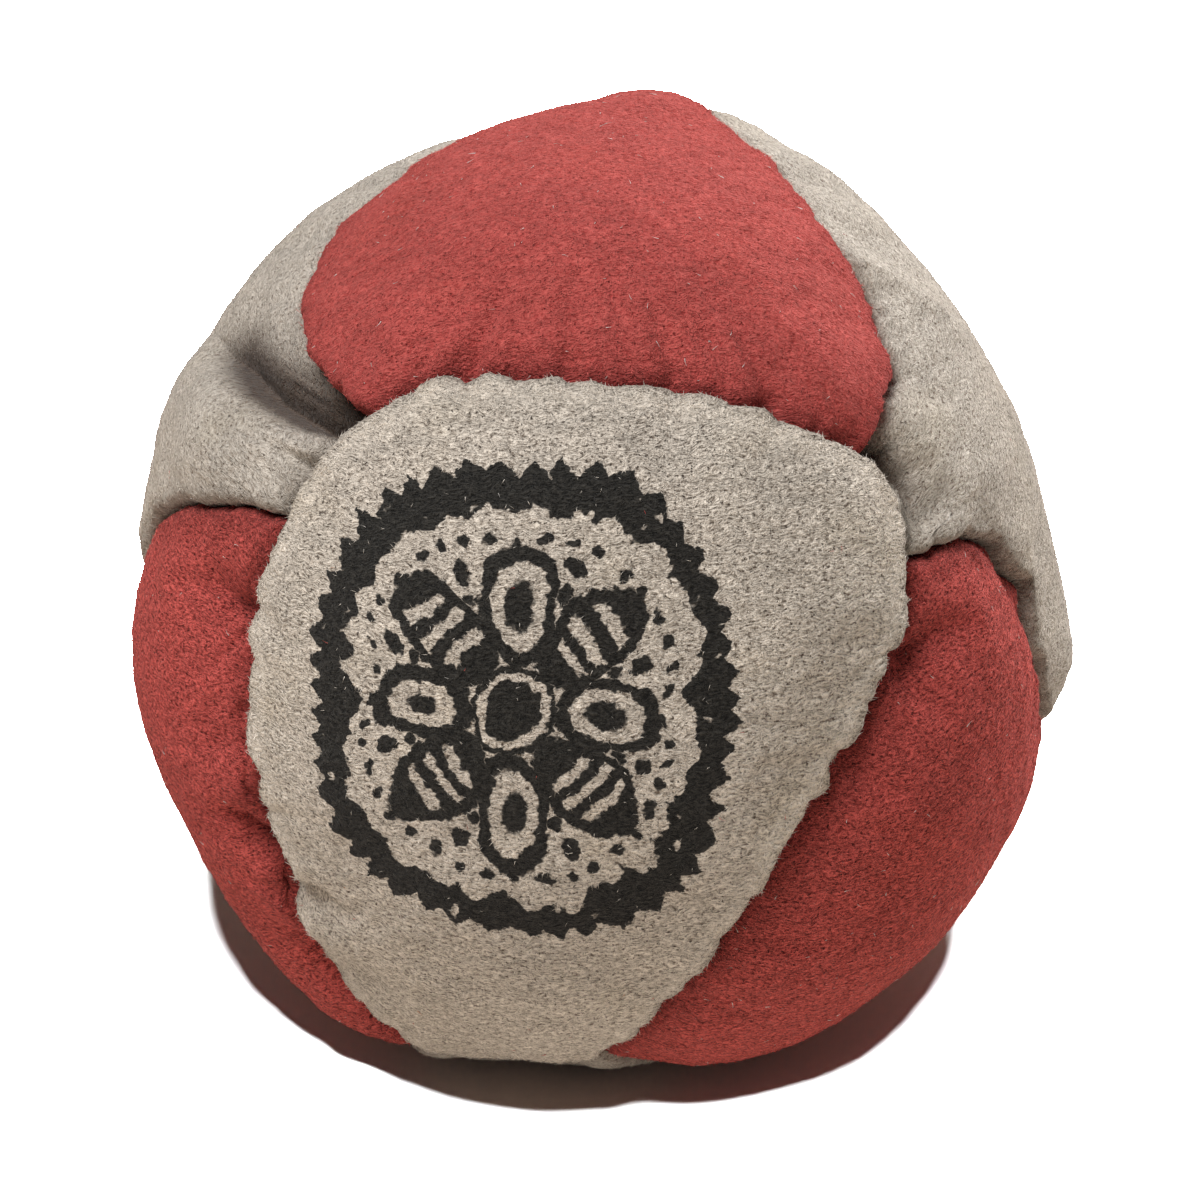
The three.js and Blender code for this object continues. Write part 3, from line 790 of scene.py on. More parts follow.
def pressed(rows):
    """How far a slack crown gives when the grain presses it out: Blender's Cloth on every few rows
    and columns of it, sewn fast at the rim, with 3% of spare suede and no gravity. The cloth is
    twenty times life size, where the solver is steady. What comes back is the radial movement
    less the mean of its row, which the ball's own shape holds already."""
    height, width = rows.shape[:2]
    ring = np.linspace(0, height - 1, SLACK_ROWS).round().astype(int)
    column = (np.arange(SLACK_COLUMNS) * width / SLACK_COLUMNS).round().astype(int)
    coarse = rows[np.ix_(ring, column)] * SLACK_SCALE
    first = coarse[0].mean(axis=0)
    points = np.concatenate([coarse.reshape(-1, 3), [first]])
    index, quads, fan = row_faces(SLACK_ROWS, SLACK_COLUMNS)
    cloth = add_object("slack", solid_mesh("slack", points, quads, fan))
    cloth.vertex_groups.new(name="sewn").add(index[-1].tolist(), 1.0, "REPLACE")
    modifier = cloth.modifiers.new("cloth", "CLOTH")
    modifier.collision_settings.use_collision = False
    modifier.point_cache.frame_end = SLACK_FRAMES
    modifier.settings.effector_weights.gravity = 0
    for key, value in SUEDE_CLOTH.items():
        setattr(modifier.settings, key, value)
    for step in range(1, SLACK_FRAMES + 1):
        bpy.context.scene.frame_set(step)
    settled = cloth.evaluated_get(bpy.context.evaluated_depsgraph_get()).to_mesh()
    after = np.empty(3 * len(points), np.float32)
    settled.vertices.foreach_get("co", after)
    bpy.data.objects.remove(cloth)
    bpy.context.scene.frame_set(1)

    moved = (after.reshape(-1, 3) - points)[:-1] / SLACK_SCALE
    push = (moved * unit(points[:-1])).sum(-1).reshape(index.shape)
    push = np.clip(push - push.mean(axis=1, keepdims=True), -SLACK_CAP, SLACK_CAP).round(3)
    column = np.append(column, width)
    push = np.stack([np.interp(np.arange(width), column, np.append(row, row[0])) for row in push])
    return np.stack([np.interp(np.arange(height), ring, push[:, k]) for k in range(width)], 1)


def panel_rows(panel):
    """The rows of a panel's outside, from its middle to its turned-in edge, with the way out, the
    radius and the distance from the seam of each point. The height over the ball is
    crown * (1 - s^2) - sink * s^4, at a share s of the way out, less the puckers. Then the edge
    turns in as a superellipse of its width and depth. Ripples, folds and slack come on top."""
    middle = aim(PANELS[panel][0])
    step = COLUMN_STEP.get(panel, USUAL_STEP)
    columns = edge_of(panel, step)
    kinds = []
    for column in columns:
        kind = OVER_EDGE if SEAMS[column["side"][0]].over == panel else UNDER_EDGE
        kinds.append(np.tile(kind, (len(column["shares"]), 1)))
    kinds = np.concatenate(kinds)
    ease = max(3, round(EDGE_EASE / step))
    width, depth, square, sink = (eased(kinds[:, k], ease) for k in range(4))
    pull = puckers(columns, panel)

    shares = np.linspace(0, 1, CROWN_ROWS + 1)[1:] ** ROW_CROWDING
    rim = rim_directions(columns, width)
    crown, turn = crown_directions(middle, rim, shares, round(OUTLINE_EASE / step))
    inward = width + BALL_RADIUS * (turn[-1] - turn)
    height = CROWN_RISE * (1 - shares[:, None] ** 2) - sink * shares[:, None] ** 4
    height = height - pull * np.exp(-inward / PUCKER_FADE)

    bend = np.radians(np.linspace(0, 90, EDGE_ROWS + 1))[1:, None]
    offsets = width + (HALF_GAP - width) * np.sin(bend) ** (2 / square)
    edge = np.stack([rim_directions(columns, row) for row in offsets])
    edge_height = -sink - depth * (1 - np.cos(bend) ** (2 / square))
    edge_height = edge_height - pull * np.exp(-offsets / PUCKER_FADE) * np.cos(bend)

    directions = np.concatenate([crown, edge])
    heights = np.concatenate([height, edge_height])
    points = directions * BALL_RADIUS
    for rise, wavelength, seed in SUEDE_RIPPLES:
        heights = heights + rise * ripple(points, wavelength, seed)
    radius = ball_surface(directions) + heights - folds_in(panel, directions)
    crown_out = radius[:CROWN_ROWS]
    give = pressed(directions[:CROWN_ROWS] * crown_out[..., None])
    crown_out += SLACK_SHARE * give * (1 - bell(inward - width, SEWN_REACH))
    return directions, radius, np.concatenate([inward, offsets]), width, columns


def write_values(mesh, cut, **values):
    """Gives each point of a mesh its place in the cut, as the UV, and its other values by name."""
    owners = np.empty(len(mesh.loops), np.int32)
    mesh.loops.foreach_get("vertex_index", owners)
    mesh.uv_layers.new(name="cut").data.foreach_set("uv", cut[owners].astype(np.float32).ravel())
    for key, numbers in values.items():
        attribute = mesh.attributes.new(key, "FLOAT", "POINT")
        attribute.data.foreach_set("value", numbers.astype(np.float32))


def whole_panel(panel):
    """The closed skin of a panel: its outside, its turned-in edge, and its inside, which follows
    the outside at the suede's thickness. With it come the rows of its outside, and the size and
    area of its cut."""
    directions, radius, inward, width, columns = panel_rows(panel)
    outside = settle(directions * radius[..., None], 0)
    foot = ball_surface(directions[-1]) - GROOVE_DEPTH + FOOT_RISE
    foot = np.minimum(foot, radius[-1] - LEAST_TURN_IN)
    inner_edge = rim_directions(columns, np.full_like(width, HALF_GAP + SUEDE_THICKNESS))
    shoulder = rim_directions(columns, width + SHOULDER_INSET)
    shoulder_radius = radius[CROWN_ROWS - 1] - SUEDE_THICKNESS - SHOULDER_DROP
    lower = [
        settle(directions[-1] * foot[:, None], SUEDE_THICKNESS / 2),
        settle(inner_edge * foot[:, None], SUEDE_THICKNESS),
        settle(inner_edge * (radius[-1] - FOOT_RISE)[:, None], SUEDE_THICKNESS),
        settle(shoulder * shoulder_radius[:, None], SUEDE_THICKNESS),
    ]
    picks = np.linspace(CROWN_ROWS - 8, 0, INNER_ROWS).round().astype(int)
    inside = [
        settle(directions[k] * (radius[k] - SUEDE_THICKNESS)[:, None], SUEDE_THICKNESS)
        for k in picks
    ]
    rows = np.concatenate([outside, lower, inside])
    first = outside[0].mean(axis=0)
    last = inside[-1].mean(axis=0)
    mesh = skin_mesh(f"suede_{panel}", rows, first, last)

    # The cut's own coordinates in millimetres: the way out from the middle, turned by its bearing
    outward = np.concatenate([[first[None] + 0 * outside[0]], outside, lower[:1]])
    far = np.cumsum(np.linalg.norm(np.diff(outward, axis=0), axis=-1), axis=0)
    middle = aim(PANELS[panel][0])
    right = unit(np.cross((0, 0, 1) if abs(middle[2]) < 0.9 else (0, -1, 0), middle))
    up = np.cross(middle, right)
    ways = np.concatenate([directions, directions[-1:]])
    bearing = np.arctan2(ways @ up, ways @ right)
    cut_rows = far[..., None] * np.stack([np.cos(bearing), np.sin(bearing)], -1)
    cut_rows = cut_rows[np.r_[:len(far), -1, picks[0], picks[0], picks]]
    cut = np.concatenate([cut_rows.reshape(-1, 2), [[0, 0], [0, 0]]])
    hidden = np.zeros((len(lower) + len(inside), len(width)))
    from_seam, in_fold = (
        np.append(np.concatenate([shown, hidden]).ravel(), [shown[0, 0], 0])
        for shown in (inward, folds_in(panel, directions))
    )
    write_values(mesh, cut, from_seam=from_seam, in_fold=in_fold)

    down = np.diff(outward, axis=0)
    across = np.roll(outward, -1, axis=1) - outward
    area = np.linalg.norm(np.cross(down, across[:-1]), axis=-1).sum() * MM**2
    size = np.ptp(cut, axis=0) * MM
    return mesh, (outside, cut_rows[:len(outside)], inward), size, min(area, size.prod())


def new_group(name, inputs, outputs):
    """A node group with its sockets, given as names and kinds; its inputs come back by name."""
    group = bpy.data.node_groups.new(name, "ShaderNodeTree")
    for way, sockets in (("INPUT", inputs), ("OUTPUT", outputs)):
        for key, kind in sockets.items():
            group.interface.new_socket(name=key, in_out=way, socket_type=f"NodeSocket{kind}")
    entry = group.nodes.new("NodeGroupInput")
    given = {socket.name: Socket(group, socket) for socket in entry.outputs if socket.name}
    return group, given, group.nodes.new("NodeGroupOutput")


NAP_LIES = (25, -42, 98)  # the three ways that tufts lie, in degrees on the cut
NAP_STREAK = (2.4, 8.5, 1)  # streaks to a millimetre, along them and across
NAP_WARP = 0.9
NAP_WORN = (1, 0.93, 0.74)  # the yellower tint of handled nap


def nap_group():
    """Suede nap as a node group. Streaks in three directions take turns over the surface, and its
    colour goes from dark to light with its height, as painted shade and highlight of its relief.
    Dark pits between the fibres are painted shade, and slow patches of lighter and darker nap lie
    over it all."""
    group, given, exit_node = new_group(
        "suede_nap",
        {"Cut": "Vector", "Light": "Color", "Dark": "Color", "Pit": "Color"},
        {"Color": "Color", "Height": "Float"},
    )
    cut = given["Cut"]
    warp = add_node(group, "ShaderNodeTexNoise", "Color", Vector=cut, Scale=0.9, Detail=1.0)
    bent = add_node(group, "ShaderNodeVectorMath", 0, {"operation": "MULTIPLY_ADD"})
    node = bent.socket.node
    put(group, warp, node.inputs[0])
    node.inputs[1].default_value = (NAP_WARP, NAP_WARP, 0)
    put(group, cut, node.inputs[2])
    streaks = []
    for turn in NAP_LIES:
        lie = add_node(
            group, "ShaderNodeMapping", 0, {"vector_type": "POINT"}, Vector=bent,
            Rotation=(0, 0, np.radians(turn)), Scale=NAP_STREAK, Location=(turn, 0, 0),
        )
        streaks.append(noise(group, lie, 1.0, 2.5, 0.6))
    choice = noise(group, cut, 1.6, 1.0)
    second = noise(group, cut, 1.1, 1.0)
    first_pick = choice.between(0.42, 0.58)
    second_pick = second.between(0.44, 0.56)
    streak = streaks[0] * (1 - first_pick) + streaks[1] * first_pick
    streak = streak * (1 - second_pick) + streaks[2] * second_pick
    fine = noise(group, cut, 11.0, 1.5, 0.6)
    clump = noise(group, cut, 3.1, 2.0, 0.55)
    pits = noise(group, cut, 4.4, 2.0, 0.6).between(0.58, 0.74)
    height = streak * 0.75 + fine * 0.25 + clump * 0.25 - pits * 0.22
    # The colour follows the nap's height: painted shade low down and painted highlight high up.
    light = height.between(0.42, 0.78)
    colour = mix(group, light, given["Dark"], given["Light"])
    # The pits are painted darker, as shade between the fibres.
    colour = mix(group, pits * 0.5, colour, given["Pit"])
    patch = noise(group, cut, 0.22, 3.0, 0.6).between(0.3, 0.7) * 0.16 + 0.92
    tint = add_node(group, "ShaderNodeVectorMath", 0, {"operation": "SCALE"}, Scale=patch)
    put(group, colour, tint.socket.node.inputs[0])
    worn = noise(group, cut, 0.13, 2.0, 0.6).between(0.5, 0.75) * 0.2
    tint = mix(group, worn, tint, NAP_WORN, "MULTIPLY")
    put(group, tint, exit_node.inputs["Color"])
    put(group, height, exit_node.inputs["Height"])
    return group


MARK_CENTRE = (-3.4, 3.4)  # in the front panel's cut coordinates
MARK_HALF = (11.0, 12.5)  # half its width and height
MARK_SQUARE = 2.7  # 2 would make it round
MARK_ROUGH = 0.7  # how far its edges stray, finely and broadly
MARK_SWAY = 2.2
INK_DARK = (0.008, 0.0075, 0.007)
INK_PALE = (0.062, 0.057, 0.05)


def mark_group():
    """The printed mark as a node group, 1 where ink lies: a rounded square band with a serrated
    edge, a chain of dots inside it, and eight petals round a disc, every second one striped.
    Distances are in millimetres from the line of each shape, along the ray from the centre."""
    group, given, exit_node = new_group("printed_mark", {"Cut": "Vector"}, {"Ink": "Float"})
    cut = given["Cut"]
    edge = add_node(group, "ShaderNodeTexNoise", "Color", Vector=cut, Scale=2.2, Detail=1.5)
    sway = add_node(group, "ShaderNodeTexNoise", "Color", Vector=cut, Scale=0.22, Detail=1.0)
    parts = []
    for source in (cut, edge, sway):
        split = add_node(group, "ShaderNodeSeparateXYZ", 0, Vector=source).socket.node
        parts.append([Socket(group, split.outputs[k]) for k in range(2)])
    x, y = (
        place_on + (rough - 0.5) * MARK_ROUGH + (slow - 0.5) * MARK_SWAY - middle
        for place_on, rough, slow, middle in zip(*parts, MARK_CENTRE)
    )
    squares = [
        (abs(side) / half).math("POWER", MARK_SQUARE) for side, half in zip((x, y), MARK_HALF)
    ]
    reach = (squares[0] + squares[1]).math("POWER", 1 / MARK_SQUARE) * MARK_HALF[0]
    turns = y.math("ARCTAN2", x) * (0.5 / np.pi)

    def teeth(count):
        """Up from 0 to 1 and down again, so many times round the centre."""
        return (turns * count).math("PINGPONG", 0.5) * 2

    def filled(distance):
        """1 inside a shape and 0 outside, over a tenth of a millimetre."""
        return distance.between(-0.05, 0.05)

    def beside(angle):
        """Along and across a ray at an angle from it: reach * cos and reach * sin of the angle."""
        return reach * angle.math("COSINE"), reach * angle.math("SINE")

    def dot(along, across, middle, radius):
        """A round dot on a ray, its middle so far out."""
        off = (along - middle) * (along - middle) + across * across
        return filled(radius - off.math("SQRT"))

    broad = noise(group, cut, 0.16, 1.0)
    outer = MARK_HALF[0] - 0.25 + teeth(47) * 0.75
    inner = MARK_HALF[0] - 1.2 - teeth(29) * 0.55 - broad.between(0.35, 0.7) * 1.2
    band = filled(outer - reach) * filled(reach - inner)
    stroke = add_node(group, "ShaderNodeCombineXYZ", 0, X=turns * 60, Y=reach * 0.7).socket
    slits = noise(group, Socket(group, stroke), 1.0, 1.0).between(0.68, 0.73)
    band = band * (1 - slits * filled(outer - 0.45 - reach))

    along, across = beside(teeth(40) * (np.pi / 40))
    chain = dot(along, across, 7.75, 0.3)
    along, across = beside(teeth(8) * (np.pi / 8))
    flat = across / 1.45
    long = (along - 4.7) / 2.45
    petal = (flat * flat + long * long).math("SQRT")
    rim = filled(0.3 - abs(petal - 1) * 1.6)
    odd = filled((turns * 4).math("PINGPONG", 0.5) * 2 - 0.5)
    stripes = filled((along * 0.85).math("PINGPONG", 0.5) - 0.22) * filled(0.95 - petal)
    seed = filled(0.42 - petal) * (1 - odd)
    along, across = beside(np.pi / 8 - teeth(8) * (np.pi / 8))
    pips = dot(along, across, 6.5, 0.5).math("MAXIMUM", dot(along, across, 5.3, 0.33))
    hub = filled(1.25 - reach).math("MAXIMUM", filled(0.16 - abs(reach - 1.75)))
    ink = band
    for shape in (chain, rim, stripes * odd, seed, pips, hub):
        ink = ink.math("MAXIMUM", shape)
    put(group, ink, exit_node.inputs["Ink"])
    return group


nap = nap_group()
mark = mark_group()


def grouped(tree, group, output, **inputs):
    """A node of a node group with its inputs, as the socket of one output."""
    node = tree.nodes.new("ShaderNodeGroup")
    node.node_tree = group
    for key, value in inputs.items():
        put(tree, value, node.inputs[key])
    return Socket(tree, node.outputs[output])


def inked(tree, cut, colour, shine):
    """Black ink over a colour where the mark is printed; shine is how light the ink is there."""
    ink = mix(tree, shine, INK_DARK, INK_PALE)
    return mix(tree, grouped(tree, mark, "Ink", Cut=cut), colour, ink)


SEAM_GRIME_AND_SHADE = 0.4  # the share of pit colour at a seam, as grime and painted shade
EDGE_HIGHLIGHT = 0.25  # the share of light colour painted on the rolled cut edge of the printed panel, as a highlight
FOLD_DIRT_AND_SHADE = 0.87  # how dark the deepest folds are painted, with dirt and painted shade
FOLD_DIRT_AND_SHADE_TINT = (0.42, 0.29, 0.22)  # the tint of that dirt and painted shade, of the pit colour


def suede(name, light, dark, pit, relief, specks, shaded, printed=False, **values):
    """A suede material: the nap group on the panel's own cut coordinates, with a bump of that
    relief in millimetres and a share of fine specks. Grime and painted shade darken it to some way
    in from its seams, and dirt and painted shade lie deep in its folds. On the printed panel its
    rolled cut edge gets a painted highlight."""
    material, tree, shader = new_material(name, **values)
    cut = add_node(tree, "ShaderNodeUVMap", 0, {"uv_map": "cut"})
    colour = grouped(tree, nap, "Color", Cut=cut, Light=light, Dark=dark, Pit=pit)
    height = Socket(tree, colour.socket.node.outputs["Height"])
    speck = noise(tree, cut, 7.0, 1.5, 0.6)
    colour = mix(tree, speck.between(0.54, 0.7) * specks, colour, light)
    colour = mix(tree, (1 - speck.between(0.3, 0.46)) * specks, colour, pit)
    near = add_node(tree, "ShaderNodeAttribute", "Fac", {"attribute_name": "from_seam"})
    if printed:
        # A painted highlight along the rolled cut edge of the printed panel.
        edge_highlight = near.between(0.5, 1.1) * (1 - near.between(1.5, 2.2)) * EDGE_HIGHLIGHT
        colour = mix(tree, edge_highlight, colour, light)
    # Grime and painted shade for some way in from the seams.
    colour = mix(tree, (1 - near.between(0.0, shaded)) * SEAM_GRIME_AND_SHADE, colour, pit)
    # Dirt and painted shade deep in the folds, darker the deeper they are.
    deep = add_node(tree, "ShaderNodeAttribute", "Fac", {"attribute_name": "in_fold"})
    fold_dirt_and_shade = [tint * part for tint, part in zip(FOLD_DIRT_AND_SHADE_TINT, pit)]
    colour = mix(tree, deep.between(0.45, 2.5) * FOLD_DIRT_AND_SHADE, colour, fold_dirt_and_shade)
    if printed:
        colour = inked(tree, cut, colour, height.between(0.45, 0.85))
    put(tree, colour, shader.inputs["Base Color"])
    bumped(tree, shader, height, relief)
    return material


# Each suede's light, dark and pit colour. The nap spreads them by its height, which paints the
# shade and highlight of its relief. The raked ones are those of the side and front panels, where
# the light rakes across the nap, and their wider spread paints more of that shade and highlight.
GREY = ((0.71, 0.64, 0.555), (0.27, 0.216, 0.168), (0.13, 0.092, 0.066))
RED = ((0.59, 0.122, 0.106), (0.33, 0.042, 0.038), (0.15, 0.015, 0.015))
RAKED_GREY = ((0.94, 0.836, 0.716), (0.145, 0.11, 0.082), (0.065, 0.045, 0.031))
RAKED_RED = ((0.8, 0.143, 0.123), (0.13, 0.0125, 0.0115), (0.05, 0.005, 0.005))
SUEDE_FEEL = dict(
    Roughness=0.95, Specular_IOR_Level=0.08, Sheen_Weight=0.08, Sheen_Roughness=0.5,
)
FUZZY_FEEL = dict(SUEDE_FEEL, Sheen_Weight=0.13)
RED_FEEL = dict(SUEDE_FEEL, Sheen_Tint=(1, 0.5, 0.45, 1))
suedes = {
    "grey": suede(
        "grey_suede_nap", *GREY, relief=0.42, specks=0.22, shaded=1.4, **FUZZY_FEEL,
    ),
    "red": suede(
        "red_suede_nap", *RED, relief=0.42, specks=0.12, shaded=1.4, **RED_FEEL,
    ),
    "raked_red": suede(
        "raked_light_red_suede_nap", *RAKED_RED, relief=0.6, specks=0.45, shaded=3.2, **RED_FEEL,
    ),
    "printed": suede(
        "printed_suede_nap", *RAKED_GREY, relief=0.5, specks=0.28, shaded=0.8, printed=True,
        **SUEDE_FEEL,
    ),
}
LOOKS = {"front": "printed", "side_left": "raked_red", "side_right": "raked_red"}

grids = {}
for panel, (_, colour, _) in PANELS.items():
    mesh, grids[panel], cut_size, cut_area = whole_panel(panel)
    piece = place(mesh, suedes[LOOKS.get(panel, colour)])
    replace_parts(piece, f"panel_{panel}")


# The nap. Short fibres stand up out of the suede and lie over one another in tufts. They are
# densest just inside the cut edges, and some white and coloured ones of lint are caught in them.
FIBRES = {
    "front": 24000, "top": 24000, "side_right": 14000, "side_left": 10000, "left": 14000,
    "right": 15000, "back": 6000, "under": 4000,
}
FIBRE_LENGTH = (0.15, 0.36)
FIBRE_RADIUS = (0.014, 0.023)
FIBRE_LEAN = (4, 26)  # off the surface, in degrees
FIBRE_ROOT = 0.01  # how deep it starts under the surface
FOLD_BARE = 2.2  # the depth of fold at which fibres turn few, and dark with dirt and painted shade
EDGE_THIN, EDGE_THIN_REACH = 0.75, 0.35  # how much fewer there are down at the seam
FRINGE_DENSE, FRINGE_REACH = 1.2, 0.6  # how many more on the fringe of a cut edge
FRINGE_INSET = 1.1  # from the seam to the middle of the fringe
FRINGE_LONG, FRINGE_HIGHLIGHT, FRINGE_WIDTH = 0.5, 0.6, 0.7  # and what it is like on the front, where paler fibres paint the edge's highlight
SEAM_LONG, SEAM_LONG_REACH = 0.35, 0.7  # how much longer they are near a seam
TABLE_BARE = 0.2  # the height under which none grow
TUFT_SIZE = 1.1
TUFT_SHARE = 1.5  # how alike neighbours lie, against how much each strays
STRAY_SHARE = 0.8
LINT = [  # the panel, how many, and what they are
    ("top", 150, "lint"), ("side_right", 130, "lint"), ("side_left", 50, "lint"),
    ("front", 16, "lint"), ("left", 12, "lint"), ("right", 18, "lint"), ("front", 22, "red"),
    ("left", 16, "red"), ("right", 12, "red"), ("front", 5, "rust"),
]
LINT_LENGTH = (0.1, 0.45)
LINT_RADIUS = (0.013, 0.023)
LINT_BEND = 0.5
LINT_SEGMENTS = 5
LINT_LIFT = 0.05  # off the surface, at its root
LINT_LEAN = 0.12


def scattered(panel, count, draw):
    """Random places on a panel's outside, more of them on the fringe, few where it turns in or
    folds deep, and none on the face that it rests on: the point, the way out, the place in the
    cut, and how far in from the seam it is."""
    outside, cut_rows, inward_rows = grids[panel]
    turned = np.roll(outside, -1, axis=1)
    down = outside[1:] - outside[:-1]
    side = turned[1:] - outside[1:]
    normals = np.cross(down, side)
    areas = np.linalg.norm(normals, axis=-1)
    inward = inward_rows[1:]
    edge = 1 - EDGE_THIN * bell(inward, EDGE_THIN_REACH)
    edge = edge + FRINGE_DENSE * bell(inward - FRINGE_INSET, FRINGE_REACH)
    depth = folds_in(panel, unit(outside[1:] - (0, 0, CENTRE_HEIGHT)))
    open_share = np.exp(-((depth / FOLD_BARE) ** 4))
    weight = areas * edge * open_share * (outside[1:, :, 2] > TABLE_BARE)
    weight = (weight / weight.sum()).ravel()
    chosen = draw.choice(weight.size, count, p=weight)
    row, column = np.divmod(chosen, outside.shape[1])
    u, v = draw.random((2, count, 1))
    after = (column + 1) % outside.shape[1]

    def blend(rows):
        """Values at the places, blended from the four points round each of them."""
        upper = rows[row, column] * (1 - u) + rows[row, after] * u
        lower = rows[row + 1, column] * (1 - u) + rows[row + 1, after] * u
        return upper * (1 - v) + lower * v

    return blend(outside), unit(normals[row, column]), blend(cut_rows), inward_rows[row, column]


def strand_mesh(name, roots, ways, ups, lengths, radii, bends, segments, cuts, tones):
    """Three-sided tapered strands, closed at both ends, as one mesh. A strand's line is
    root + way * length * t + bend * length * t^2, and its radius falls to nothing at its tip."""
    count = len(roots)
    side = unit(np.cross(ups, ways))
    top = np.cross(ways, side)
    share = (np.arange(segments) / segments)[None, :, None, None]
    angle = (2 * np.pi * np.arange(3) / 3)[None, None, :, None]
    ring = np.cos(angle) * side[:, None, None] + np.sin(angle) * top[:, None, None]
    far = lengths[:, None, None, None]
    gone = ways[:, None, None] * share + bends[:, None, None] * share**2
    rings = roots[:, None, None] + far * gone + ring * radii[:, None, None, None] * (1 - share)
    tips = roots + lengths[:, None] * (ways + bends)
    points = np.concatenate([rings.reshape(count, -1, 3), tips[:, None]], 1)
    each = 3 * segments + 1
    here = np.arange(segments - 1)[:, None] * 3
    turn = np.array([[0, 1], [1, 2], [2, 0]])
    quads = np.stack([
        here + turn[:, 0], here + turn[:, 1], here + 3 + turn[:, 1], here + 3 + turn[:, 0],
    ], -1).reshape(-1, 4)
    last = 3 * (segments - 1)
    ends = np.concatenate([
        np.stack([last + turn[:, 0], last + turn[:, 1], np.full(3, each - 1)], -1), [[0, 2, 1]],
    ])
    start = np.arange(count)[:, None, None] * each
    quads, ends = (start + quads).reshape(-1, 4), (start + ends).reshape(-1, 3)
    mesh = solid_mesh(name, points.reshape(-1, 3) * MM, quads, ends)
    write_values(mesh, np.repeat(cuts, each, axis=0), tone=np.repeat(tones, each))
    return mesh


def nap_mesh(panel):
    """A panel's fibres. They rise a little off the surface, and neighbours in a tuft lie much the
    same way. Those near a seam are longer, and on the front a fringe stands on the edge, its fibres
    painted paler as the edge's highlight. Fibres in folds are painted darker, as dirt and shade."""
    draw = np.random.default_rng(40 + list(PANELS).index(panel))
    count = FIBRES[panel]
    roots, outs, cuts, inward = scattered(panel, count, draw)
    tuft = np.stack([ripple(roots, TUFT_SIZE, 60 + k, 12) for k in range(3)], -1)
    lie = TUFT_SHARE * tuft + draw.normal(size=(count, 3)) * STRAY_SHARE
    lie = laid_flat(lie, outs)
    lean = np.radians(draw.uniform(*FIBRE_LEAN, (count, 1)))
    ways = lie * np.cos(lean) + outs * np.sin(lean)
    lengths = draw.uniform(*FIBRE_LENGTH, count)
    lengths = lengths * (1 + SEAM_LONG * np.exp(-inward / SEAM_LONG_REACH))
    radii = draw.uniform(*FIBRE_RADIUS, count)
    tones = draw.random(count)
    if panel == "front":
        fringe = bell(inward - FRINGE_INSET, FRINGE_WIDTH)
        lengths = lengths * (1 + FRINGE_LONG * fringe)
        # Paler fibres on the fringe paint the highlight of the rolled edge.
        tones = tones + (1 - tones) * FRINGE_HIGHLIGHT * fringe
    # Fibres in folds are painted darker, as dirt and shade.
    depth = folds_in(panel, unit(roots - (0, 0, CENTRE_HEIGHT)))
    tones = tones * (1 - np.clip(depth / FOLD_BARE, 0, 1))
    roots = roots - outs * FIBRE_ROOT
    return strand_mesh(
        f"nap_{panel}", roots, ways, outs, lengths, radii, 0 * roots, 1, cuts, tones,
    )


def fibre_look(name, light, dark, printed=False, **values):
    """A material for loose fibres: each has its own tone between dark and light."""
    material, tree, shader = new_material(name, **values)
    tone = add_node(tree, "ShaderNodeAttribute", "Fac", {"attribute_name": "tone"})
    colour = mix(tree, tone.math("POWER", 0.7), dark, light)
    if printed:
        cut = add_node(tree, "ShaderNodeUVMap", 0, {"uv_map": "cut"})
        missed_by_ink = tone.between(0.98, 0.99)
        colour = mix(tree, missed_by_ink, inked(tree, cut, colour, tone * 0.7), colour)
    put(tree, colour, shader.inputs["Base Color"])
    return material


GREY_FIBRE = ((0.84, 0.76, 0.66), (0.3, 0.24, 0.19))
RED_FIBRE = ((0.7, 0.155, 0.135), (0.32, 0.042, 0.039))
# The raked fibres' wider spread of tone paints the stronger shade and highlight of raking light.
RAKED_GREY_FIBRE = ((1, 0.91, 0.8), (0.24, 0.186, 0.143))
RAKED_RED_FIBRE = ((0.88, 0.185, 0.158), (0.18, 0.018, 0.016))
LINT_FIBRE = ((0.85, 0.83, 0.8), (0.6, 0.52, 0.46))
RUST_FIBRE = ((0.6, 0.25, 0.1), (0.35, 0.13, 0.06))
fibre_looks = {
    "grey": fibre_look("grey_fibre", *GREY_FIBRE, **FUZZY_FEEL),
    "red": fibre_look("red_fibre", *RED_FIBRE, **RED_FEEL),
    "raked_red": fibre_look("raked_light_red_fibre", *RAKED_RED_FIBRE, **RED_FEEL),
    "printed": fibre_look("printed_fibre", *RAKED_GREY_FIBRE, printed=True, **SUEDE_FEEL),
    "lint": fibre_look("lint_fibre", *LINT_FIBRE, Roughness=0.8),
    "rust": fibre_look("rust_fibre", *RUST_FIBRE, Roughness=0.8),
}
for panel, (_, colour, _) in PANELS.items():
    place(nap_mesh(panel), fibre_looks[LOOKS.get(panel, colour)])

for number, (panel, count, kind) in enumerate(LINT):
    draw = np.random.default_rng(90 + number)
    roots, outs, cuts, _ = scattered(panel, count, draw)
    lie = draw.normal(size=(count, 3))
    lie = laid_flat(lie, outs)
    bends = np.cross(outs, lie) * draw.uniform(-LINT_BEND, LINT_BEND, (count, 1))
    lengths = draw.uniform(*LINT_LENGTH, count)
    radii = draw.uniform(*LINT_RADIUS, count)
    lint = strand_mesh(
        f"{kind}_fibres_on_{panel}", roots + outs * LINT_LIFT, unit(lie + LINT_LEAN * outs), outs,
        lengths, radii, bends, LINT_SEGMENTS, cuts, draw.random(count),
    )
    place(lint, fibre_looks[kind])


